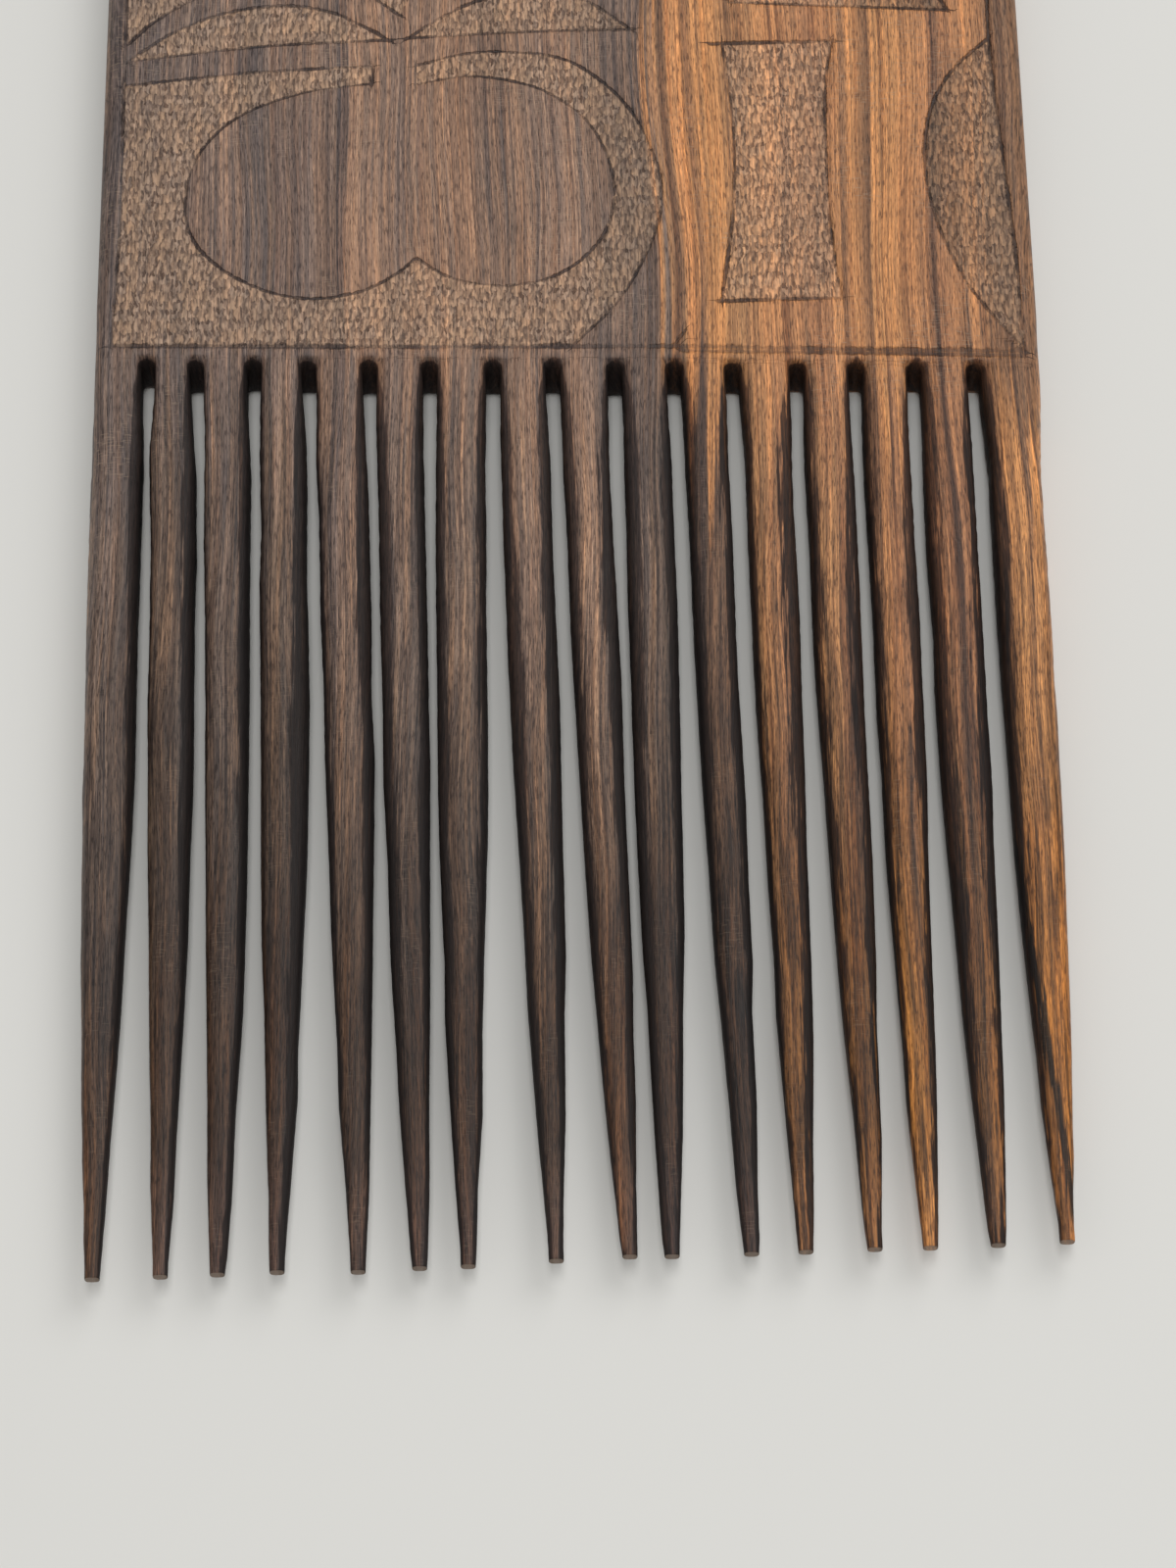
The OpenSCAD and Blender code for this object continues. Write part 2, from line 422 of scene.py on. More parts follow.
def coonsPatch(bottom, top, left, right):
    # Grid inside four edges: bottom and top blended upwards, plus left and right blended across,
    # less the four corners blended both ways
    u = np.linspace(0, 1, len(bottom))[None, :, None]
    run = np.concatenate([[0], np.cumsum(np.hypot(*np.diff(left, axis=0).T))])
    v = (run / run[-1])[:, None, None]
    across = (1 - u) * left[:, None] + u * right[:, None]
    upwards = (1 - v) * bottom[None] + v * top[None]
    corners = ((1 - u) * (1 - v) * bottom[0] + u * (1 - v) * bottom[-1]
               + (1 - u) * v * top[0] + u * v * top[-1])
    return across + upwards - corners


# Carved lines and punched grounds. Places are in millimetres on the front, across and up.

def throughPoints(points, step=0.35):
    # A smooth curve through a few points: each stretch is a cubic whose slopes at its ends follow
    # the points on either side
    p = np.array(points, dtype=float)
    if len(p) == 2:
        return p
    padded = np.concatenate([[2 * p[0] - p[1]], p, [2 * p[-1] - p[-2]]])
    pieces = []
    for k in range(len(p) - 1):
        a, b, c, d = padded[k:k + 4]
        count = max(2, int(np.hypot(*(c - b)) / step))
        t = np.linspace(0, 1, count, endpoint=False)[:, None]
        pieces.append(0.5 * (2 * b + (c - a) * t + (2 * a - 5 * b + 4 * c - d) * t ** 2
                             + (3 * b - a - 3 * c + d) * t ** 3))
    return np.concatenate(pieces + [p[-1:]])


lobes = {
    "left": [(-20.8, 42.5), (-28.0, 41.4), (-35.0, 38.4), (-39.4, 33.4), (-40.8, 27.0), (-39.7, 22.0),
             (-36.3, 18.1), (-31.5, 15.4), (-26.5, 14.5), (-21.5, 15.5), (-17.9, 17.7), (-16.0, 19.6)],
    "right": [(-16.0, 19.6), (-12.2, 17.0), (-6.5, 15.9), (-0.8, 17.3), (3.5, 21.3), (5.3, 27.0),
              (4.6, 32.7), (2.1, 37.7), (-2.2, 41.3), (-6.5, 42.8), (-10.8, 43.3), (-16.1, 42.3)],
    "band": [(-47.7, 42.5), (-34.0, 44.1), (-20.8, 44.8)],
    "bandEnd": [(-20.8, 44.9), (-20.8, 42.3)],
    "outer": [(-16.1, 44.8), (-10.8, 46.3), (-6.0, 46.5), (0.6, 45.2), (6.4, 39.8), (9.6, 32.7),
              (10.4, 27.0), (9.2, 21.3), (5.7, 14.1), (0.5, 8.0)],
    "outerEnd": [(-16.1, 44.9), (-16.1, 42.1)],
}
borders = {
    "left": [(-47.8, 88.0), (-47.9, 60.0), (-47.8, 44.0), (-47.7, 24.0), (-48.2, 8.8)],
    "bottom": [(-48.4, 8.85), (-20.0, 8.35), (10.0, 8.0), (30.0, 7.35), (48.5, 6.85)],
    "bottomTwin": [(12.0, 7.45), (30.0, 6.95), (48.0, 6.35)],
    "right": [(46.9, 88.0), (46.8, 60.0), (46.6, 47.0), (47.2, 34.0), (48.0, 20.0), (48.3, 6.6)],
    "top": [(-47.9, 87.2), (-15.0, 89.6), (15.0, 89.7), (47.0, 87.4)],
}
leaves = {
    "leftLine": [(-47.4, 45.8), (-33.0, 47.6), (-18.6, 48.3)],
    "leftArc": [(-47.4, 45.9), (-42.2, 49.8), (-36.5, 52.3), (-30.1, 53.1), (-25.1, 52.0), (-20.8, 49.5),
                (-18.9, 48.1)],
    "leftOver": [(-47.6, 48.0), (-44.6, 51.2), (-40.6, 54.0), (-35.0, 56.6), (-29.6, 57.2), (-23.0, 55.6),
                 (-17.8, 51.6)],
    "middleLine": [(-17.2, 48.5), (-4.0, 49.2), (7.9, 49.4)],
    "middleArc": [(-17.0, 48.4), (-13.6, 51.0), (-9.0, 53.6), (-3.2, 54.9), (2.6, 53.3), (7.5, 49.3)],
    "rightLine": [(18.6, 52.9), (30.0, 52.2), (42.4, 51.5)],
    "rightArc": [(18.8, 52.9), (21.4, 57.2), (25.6, 60.6), (30.6, 61.8), (35.6, 60.4), (39.6, 56.6),
                 (42.2, 51.6)],
}
waist = {
    "top": [(16.1, 47.3), (29.7, 47.5)],
    "bottom": [(16.2, 13.6), (29.4, 13.9)],
    "left": [(17.4, 47.3), (18.1, 40.0), (18.4, 33.0), (17.9, 24.0), (16.5, 13.6)],
    "right": [(29.4, 47.5), (28.5, 41.3), (28.3, 32.7), (28.4, 23.4), (29.2, 13.9)],
}
halfOval = [(46.4, 47.5), (42.4, 43.4), (39.9, 38.4), (38.9, 32.7), (39.2, 27.0), (40.7, 20.5),
            (43.5, 14.1), (48.2, 7.2)]
tick = [(11.3, 8.1), (12.5, 9.9)]
upperLobes = {
    "left": [(-22.0, 63.5), (-30.0, 63.9), (-36.4, 67.2), (-39.0, 72.4), (-37.4, 78.4), (-31.6, 82.6),
             (-24.6, 82.2), (-19.6, 79.0), (-18.0, 76.2)],
    "right": [(-18.0, 76.2), (-14.6, 80.0), (-8.2, 83.4), (-1.2, 82.2), (3.0, 77.2), (3.2, 70.4),
              (-1.6, 65.4), (-8.4, 63.5), (-14.0, 63.5)],
    "base": [(-47.6, 60.6), (-20.0, 60.4), (8.0, 60.0)],
    "outer": [(8.0, 60.0), (9.6, 67.0), (9.4, 76.0), (6.6, 89.0)],
}
upperWaist = {
    "top": [(17.0, 86.0), (43.0, 85.4)],
    "bottom": [(17.6, 65.4), (42.6, 64.8)],
    "left": [(18.2, 86.0), (20.6, 80.4), (21.2, 75.4), (20.4, 70.2), (18.6, 65.4)],
    "right": [(42.0, 85.4), (39.6, 80.2), (39.0, 75.0), (39.8, 69.8), (41.8, 64.8)],
}


def carvedLines():
    # Every incised line, sorted into three families in which no two lines cross or meet
    families = [
        [borders["left"], borders["right"], lobes["left"], lobes["right"], lobes["outer"], leaves["leftLine"],
         leaves["middleLine"], waist["top"], waist["bottom"], upperWaist["top"], upperWaist["bottom"],
         leaves["rightLine"], upperLobes["left"], upperLobes["right"]],
        [borders["bottom"], borders["top"], lobes["band"], leaves["leftOver"], leaves["middleArc"],
         waist["left"], waist["right"], halfOval, upperWaist["left"], upperWaist["right"],
         leaves["rightArc"], upperLobes["base"]],
        [borders["bottomTwin"], tick, leaves["leftArc"], lobes["bandEnd"], lobes["outerEnd"],
         upperLobes["outer"]],
    ]
    # Widths as shares of the usual one: the long bottom lines are the deepest, those of the lobes the finest
    widths = [(1.6, (borders["bottom"], borders["bottomTwin"])), (1.25, (waist["top"], waist["bottom"])),
              (0.85, (lobes["left"], lobes["right"], lobes["outer"]))]
    share = lambda line: next((width for width, lines in widths if line in lines), 1.0)
    return [[(throughPoints(line), share(line)) for line in family] for family in families]


def punchedGrounds():
    # Closed outlines of the grounds that are roughened with a pointed tool: the lines round each,
    # and short straight stretches where no line closes it
    join = lambda *lines: np.concatenate([throughPoints(line) for line in lines])
    return [
        join(borders["left"][2:][::-1], lobes["band"], lobes["left"], lobes["right"], lobes["outer"],
             [(0.5, 8.1), (-48.2, 8.8)]),
        join(leaves["leftArc"], leaves["leftLine"][::-1]),
        join(leaves["middleArc"], leaves["middleLine"][::-1]),
        join(leaves["rightArc"], leaves["rightLine"][::-1]),
        join(waist["left"], waist["bottom"], waist["right"][::-1], waist["top"][::-1]),
        join(upperWaist["left"], upperWaist["bottom"], upperWaist["right"][::-1], upperWaist["top"][::-1]),
        join(halfOval, [(48.3, 6.9), (48.0, 20.0)], borders["right"][2:5][::-1]),
        join(leaves["leftOver"], [(-17.8, 51.6), (-14.0, 60.4)], upperLobes["base"][:2][::-1]),
        join(upperLobes["left"], upperLobes["right"], [(-14.0, 63.5), (-13.0, 60.3)],
             [(-13.0, 60.3), (8.0, 60.0)], upperLobes["outer"], [(6.6, 89.0), (-47.8, 87.2)],
             [(-47.8, 87.2), (-47.7, 60.6)], [(-47.7, 60.6), (-22.5, 60.4)]),
    ]


def signedDistance(points, line):
    # Distance to the nearest stretch of a line, positive on its left, and held within reach
    reach = farFromLine
    found = np.full(len(points), reach)
    low, high = line.min(axis=0) - reach, line.max(axis=0) + reach
    near = np.nonzero(np.all((points > low) & (points < high), axis=1))[0]
    start, along = line[:-1], np.diff(line, axis=0)
    best = np.full(len(near), reach)
    side = np.ones(len(near))
    for a, d in zip(start, along):
        offset = points[near] - a
        t = clamp01((offset @ d) / (d @ d))
        away = np.hypot(*(offset - t[:, None] * d).T)
        closer = away < best
        best[closer] = away[closer]
        side[closer] = np.where(d[0] * offset[:, 1] - d[1] * offset[:, 0] >= 0, 1.0, -1.0)[closer]
    found[near] = best * side
    return found


def insideOutline(points, outline):
    # A point is inside where a level ray from it crosses the outline an odd number of times
    inside = np.zeros(len(points), dtype=bool)
    low, high = outline.min(axis=0), outline.max(axis=0)
    near = np.nonzero(np.all((points > low) & (points < high), axis=1))[0]
    x, y = points[near].T
    hits = np.zeros(len(near), dtype=int)
    for (x0, y0), (x1, y1) in zip(outline, np.roll(outline, -1, axis=0)):
        if y0 == y1:
            continue
        crosses = (y0 > y) != (y1 > y)
        hits += crosses & (x < x0 + (y - y0) * (x1 - x0) / (y1 - y0))
    inside[near] = hits % 2 == 1
    return inside


punch = {
    "pitchX": 0.94,           # between two punch marks in a row
    "pitchY": 1.30,           # between two rows
    "rowShift": 0.618,        # each row of marks starts at another share of the pitch
    "depth": 0.08,
    "sink": 0.06,             # the whole ground lies a little lower
    "edge": 0.5,              # and comes up to the lines round it within this
    # Middle and size of the pricked hole, and size of the hollow round it, as shares of the two pitches
    "hole": (0.50, 0.78),
    "holeSize": (0.17, 0.20),
    "hollowSize": (0.34, 0.30),
    "hollowRim": 1.45,        # the hollow ends this many of its own sizes from its middle
    # Waves by which the marks stray: height as a share of the pitch, length across, length up
    "marks": (0.45, 5.1, 3.3),
    "rows": (0.40, 4.3, 6.0),
    "rowsFine": (0.12, 1.3, 4.0),
}
groove = {"halfWidth": 0.42, "depth": 0.17}
farFromLine = 1.6             # distances to incised lines are held within this
nearLine = 0.6                # within this from a line its family is drawn, up to twice as far less and less


def punchPlaces(x, y):
    # Number of the mark along its row and of the row, strayed as handwork strays
    def stray(name):
        height, lengthX, lengthY = punch[name]
        return height * unevenness(x / lengthX, y / lengthY, seeds[name])

    u = x / punch["pitchX"] + stray("marks")
    v = y / punch["pitchY"] + stray("rows") + stray("rowsFine")
    return u, v


def punchDepth(u, v):
    # A small hollow in every cell: its rim less the distance from its middle, counted in its own size
    row = np.floor(v)
    across = ((u + row * punch["rowShift"]) % 1.0 - punch["hole"][0]) / punch["hollowSize"][0]
    along = (v - row - punch["hole"][1]) / punch["hollowSize"][1]
    return smooth(punch["hollowRim"] - np.hypot(across, along))


def carveFront(points):
    # Depth of every cut at each point of the front, with the values that the material needs
    flat = points[:, :2]
    distances = np.full((len(points), 3), farFromLine)
    for k, family in enumerate(carvedLines()):
        for line, width in family:
            away = signedDistance(flat, line)
            away = np.where(np.abs(away) < farFromLine, away / width, away)
            nearer = np.abs(away) < np.abs(distances[:, k])
            distances[nearer, k] = away[nearer]
    punched = np.zeros(len(points))
    for outline in punchedGrounds():
        punched[insideOutline(flat, outline)] = 1.0
    nearest = np.abs(distances).min(axis=1)
    u, v = punchPlaces(*flat.T)
    inField = punched * smooth(nearest / punch["edge"])
    depth = inField * (punch["sink"] + punch["depth"] * punchDepth(u, v))
    depth += groove["depth"] * smooth(1 - nearest / groove["halfWidth"])
    return depth, distances, punched, u, v


# Panel

def fanPoints(k):
    # Round the end of slot k: straight lines from the slot's wall to a box round it, whose heights
    # follow the section of the tines from the middle of the back to the middle of the front
    steps, columns = panel["fanSideSteps"], panel["slotColumns"]
    rightBox, leftBox = rootX[k + 1] - slotX[k], rootX[k] - slotX[k]
    height = panel["fanHeight"]
    upSide = np.linspace(0, height, steps + 1)
    across = np.linspace(rightBox, leftBox, columns + 1)
    boxX = np.concatenate([np.full(steps, rightBox), across, np.full(steps, leftBox)])
    boxY = np.concatenate([upSide[:-1], np.full(columns + 1, height), upSide[:-1][::-1]])
    angle = np.linspace(0, np.pi, len(boxX))
    wallX, wallY = slotRadius * np.cos(angle), slotRadius * np.sin(angle)
    unitX, unitZ = sectionPoints(comb["sawnPower"], comb["sawnPower"])
    order = np.arange(backMiddle, frontMiddle - 1, -1)       # back, left wall, front
    out = 1 - np.abs(unitX[order])[None, :]
    over = np.sin(angle)[:, None]
    aroundEnd, perSlot = panel["dishWaves"]
    uneven = 1 + panel["dishStray"] * unevenness(angle * aroundEnd, perSlot * k, seeds["dish"])
    dish = over ** 2 * np.exp(-(out / panel["dishReach"]) ** 2) * uneven[:, None]
    x = wallX[:, None] + (boxX - wallX)[:, None] * out
    up = wallY[:, None] + (boxY - wallY)[:, None] * out
    up -= over * (1 - out) * panel["slotLean"][k] * (1 - unitZ[order][None, :]) / 2
    z = midZ + unitZ[order][None, :] * (midZ - panel["dish"] * dish)
    x = x + slotX[k]
    return np.stack([x, slotLineY(x) + up, z], axis=-1)


def edgeProfile():
    # From the front's flat edge round to the back's: share of the rounding still to go, and height.
    # It has as many points as the half of a tine's section that it turns into.
    turn = np.radians(np.linspace(0, 90, panel["roundPoints"]))
    wallPoints = backMiddle - frontMiddle + 1 - 2 * panel["roundPoints"]
    share = np.concatenate([1 - np.sin(turn), np.zeros(wallPoints), 1 - np.sin(turn)[::-1]])
    fall = panel["sideRound"] * (1 - np.cos(turn))
    straight = np.linspace(thickness - panel["sideRound"], panel["sideRound"], wallPoints + 2)[1:-1]
    height = np.concatenate([thickness - fall, straight, fall[::-1]])
    return share, height


def edgeBand(leftShares, topShares, rightShares):
    # The rounded edge as strips of profiles along the left side, the top and the right side
    share, height = edgeProfile()
    outer = outlinePlaces(0.0, leftShares, topShares, rightShares)
    inner = outlinePlaces(1.0, leftShares, topShares, rightShares)
    bands = []
    for part, (away, home) in enumerate(zip(outer, inner)):
        flat = away[:, None] + (home - away)[:, None] * share[None, :, None]
        z = np.broadcast_to(height, flat.shape[:2]).copy()
        if part != 1:
            # Near the slot line the profile turns into the outer tine's own section
            sign, i = (-1, 0) if part == 0 else (1, tineCount - 1)
            unitX, unitZ = sectionPoints(comb["roundedPower"], comb["roundedPower"])
            order = np.arange(frontMiddle, backMiddle + 1)
            sectionX = sign * (halfWidth - rootHalf[i] * (1 - np.abs(unitX[order])))
            rise = flat[:, :1, 1] - slotLineY(flat[:, :1, 0])
            free = smooth(rise / panel["rootBlend"])
            x = blend(sectionX[None, :], flat[..., 0], free)
            lift = blend(rise, flat[..., 1] - slotLineY(flat[..., 0]), free)
            z = blend((midZ + unitZ[order] * midZ)[None, :], z, free)
            flat = np.stack([x, slotLineY(x) + lift], axis=-1)
        bands.append(np.concatenate([flat, z[..., None]], axis=-1))
    return bands


def makePanel():
    # Fans round the slot ends, the rounded edge, a fine front and a coarse back, welded to one shell
    steps, columns = panel["fanSideSteps"], panel["slotColumns"]
    # Shares of the left side's length at which rows lie
    leftLength = panelOutline(0.0)[3]
    fan = np.linspace(0, panel["fanHeight"], steps + 1)
    fine = np.arange(panel["fanHeight"], panel["fineUpTo"], panel["fineRow"])[1:]
    coarse = np.linspace(fine[-1], leftLength, int((leftLength - fine[-1]) / panel["coarseRow"]) + 1)[1:]
    rowShares = np.concatenate([fan, fine, coarse]) / leftLength
    topShares = np.linspace(0, 1, (tineCount - 1) * columns + 1)
    leftBand, topBand, rightBand = edgeBand(rowShares, topShares, rowShares)
    fans = [fanPoints(k) for k in range(tineCount - 1)]
    for band, near in ((leftBand, fans[0][-steps - 1:][::-1]), (rightBand, fans[-1][:steps + 1])):
        band[:steps + 1, 0] = near[:, -1]        # the side's first rows meet the outer fans
        band[:steps + 1, -1] = near[:, 0]
    blocks, faces, count = [], [], 0

    def addBlock(grid, makeFaces=True):
        nonlocal count
        blocks.append(grid.reshape(-1, 3))
        start = count
        count += len(blocks[-1])
        if makeFaces:
            faces.extend([[n + start for n in face] for face in gridFaces(*grid.shape[:2])])
        return start

    for grid in fans:
        addBlock(grid)
    bandStarts = [addBlock(band) for band in (leftBand, topBand, rightBand)]
    # Front and back fields between the fans and the rounded edge
    fields = {}
    for name, end in (("front", -1), ("back", 0)):
        bottom = [grid[steps:-steps, end][::-1][:-1] for grid in fans] + [fans[-1][steps:steps + 1, end]]
        bottom = np.concatenate(bottom)
        edge = 0 if name == "front" else -1
        left, right = leftBand[steps:, edge], rightBand[steps:, edge]
        top = topBand[:, edge]
        flat = coonsPatch(bottom[:, :2], top[:, :2], left[:, :2], right[:, :2])
        level = np.full(flat.shape[:2] + (1,), bottom[0, 2])
        fields[name] = np.concatenate([flat, level], axis=-1)
    addBlock(fields["front"])
    # The plain back needs few rows: cells beside the edge take all of the edge's points
    rows = len(fields["back"])
    kept = np.unique(np.append(np.arange(0, rows, panel["backRowStep"]), rows - 1))
    coarseBack = fields["back"][kept]
    start = addBlock(coarseBack, makeFaces=False)
    width = coarseBack.shape[1]
    faces.extend([[n + start for n in face] for face in gridFaces(*coarseBack.shape[:2])
                  if 0 < face[0] % width < width - 2])
    profile = leftBand.shape[1]
    for a in range(len(kept) - 1):
        run = np.arange(kept[a], kept[a + 1] + 1) + steps
        leftRun = (bandStarts[0] + run * profile + profile - 1).tolist()
        rightRun = (bandStarts[2] + run * profile + profile - 1).tolist()
        low, high = start + a * width, start + (a + 1) * width
        faces.append([high + 1, low + 1] + leftRun)
        faces.append([low + width - 2, high + width - 2] + rightRun[::-1])
    # Caps where the tines go on
    fanSize = fans[0].shape[1]
    for i in range(tineCount):
        leftWall = (np.arange(fanSize) + (i - 1) * fans[0].shape[0] * fanSize).tolist()
        rightWall = (np.arange(fanSize) + (i + 1) * fans[0].shape[0] * fanSize - fanSize).tolist()
        if i == 0:
            leftWall = (bandStarts[0] + np.arange(profile)[::-1]).tolist()
        if i == tineCount - 1:
            rightWall = (bandStarts[2] + np.arange(profile)[::-1]).tolist()
        faces.append(leftWall[:-1] + rightWall[::-1][:-1])
    return buildObject("carved_panel", np.concatenate(blocks), faces, weld=True)


def dressPanel(made):
    # Carves the front and writes what the material reads
    points = meshPoints(made)
    depth, distances, punched, u, v = carveFront(points)
    front = between(points[:, 2], thickness - panel["carvedFrom"], thickness - panel["carvedFull"])
    points[:, 2] -= depth * front
    made.data.vertices.foreach_set("co", (points * mm).ravel())
    distances[front <= 0] = farFromLine
    writeValues(made, "incised", distances)
    # The sign of a distance flips far from its line, so each family is only drawn where it is near
    writeValues(made, "nearLine", 1 - smooth((np.abs(distances) - nearLine) / nearLine))
    writeValues(made, "punched", punched * (front > 0.5))
    # Distance from the nearest slot's wall, told apart for walls on the left and on the right
    fromLeft = np.full(len(points), uncut)
    fromRight = np.full(len(points), uncut)
    # Painted shade deeper in the slots, on top of their char and soil: there a wall counts as nearer to its
    # cut
    underFront = smooth((thickness - panel["wallTop"] - points[:, 2]) / panel["wallFade"])
    inWall = underFront * smooth((points[:, 2] - panel["wallBottom"]) / panel["wallFade"])
    for centre in slotX:
        across, up = points[:, 0] - centre, np.maximum(points[:, 1] - slotLineY(centre), 0)
        reach = np.maximum(np.hypot(across, up), slotRadius)
        away = reach - slotRadius + cleanRoot - wallDark * inWall
        side = across / reach
        fromLeft = np.minimum(fromLeft, away + panel["farSide"] * smooth(-side))
        fromRight = np.minimum(fromRight, away + panel["farSide"] * smooth(side))
    writeValues(made, "fromCut", np.stack([fromLeft, fromRight, np.zeros(len(points))], axis=-1))
    layer = made.data.uv_layers.new(name="punchRows")
    corner = np.empty(len(made.data.loops), dtype=np.int32)
    made.data.loops.foreach_get("vertex_index", corner)
    layer.data.foreach_set("uv", np.stack([u, v], axis=1)[corner].astype(np.float32).ravel())
    made.data.update()


panelPiece = makePanel()
dressPanel(panelPiece)
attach(panelPiece, bodyName)
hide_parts("panel")
panelPiece.data.calc_loop_triangles()
print("panel carved, triangles:", len(panelPiece.data.loop_triangles))


# Materials

def tone(hexCode):
    # An sRGB hex colour as the linear values that the shaders take
    parts = [int(hexCode[k:k + 2], 16) / 255 for k in (1, 3, 5)]
    return [p / 12.92 if p <= 0.04045 else ((p + 0.055) / 1.055) ** 2.4 for p in parts] + [1.0]


def addNode(tree, kind, links=(), **settings):
    # Adds one shader node of a kind with its settings. links gives its inputs in order, or by name: a
    # node, a socket or a value.
    node = tree.nodes.new("ShaderNode" + kind)
    for name, value in settings.items():
        setattr(node, name, value)
    if not isinstance(links, dict):
        sockets = [s for s in node.inputs if s.enabled]
        pairs = zip(sockets, links)
    else:
        pairs = [(node.inputs[name], value) for name, value in links.items()]
    for socket, value in pairs:
        if value is None:
            continue
        if isinstance(value, bpy.types.Node):
            value = next(s for s in value.outputs if s.enabled)
        if isinstance(value, bpy.types.NodeSocket):
            tree.links.new(value, socket)
        else:
            socket.default_value = value
    return node


asIs = (1.0, 1.0, 1.0)        # a tint that changes nothing

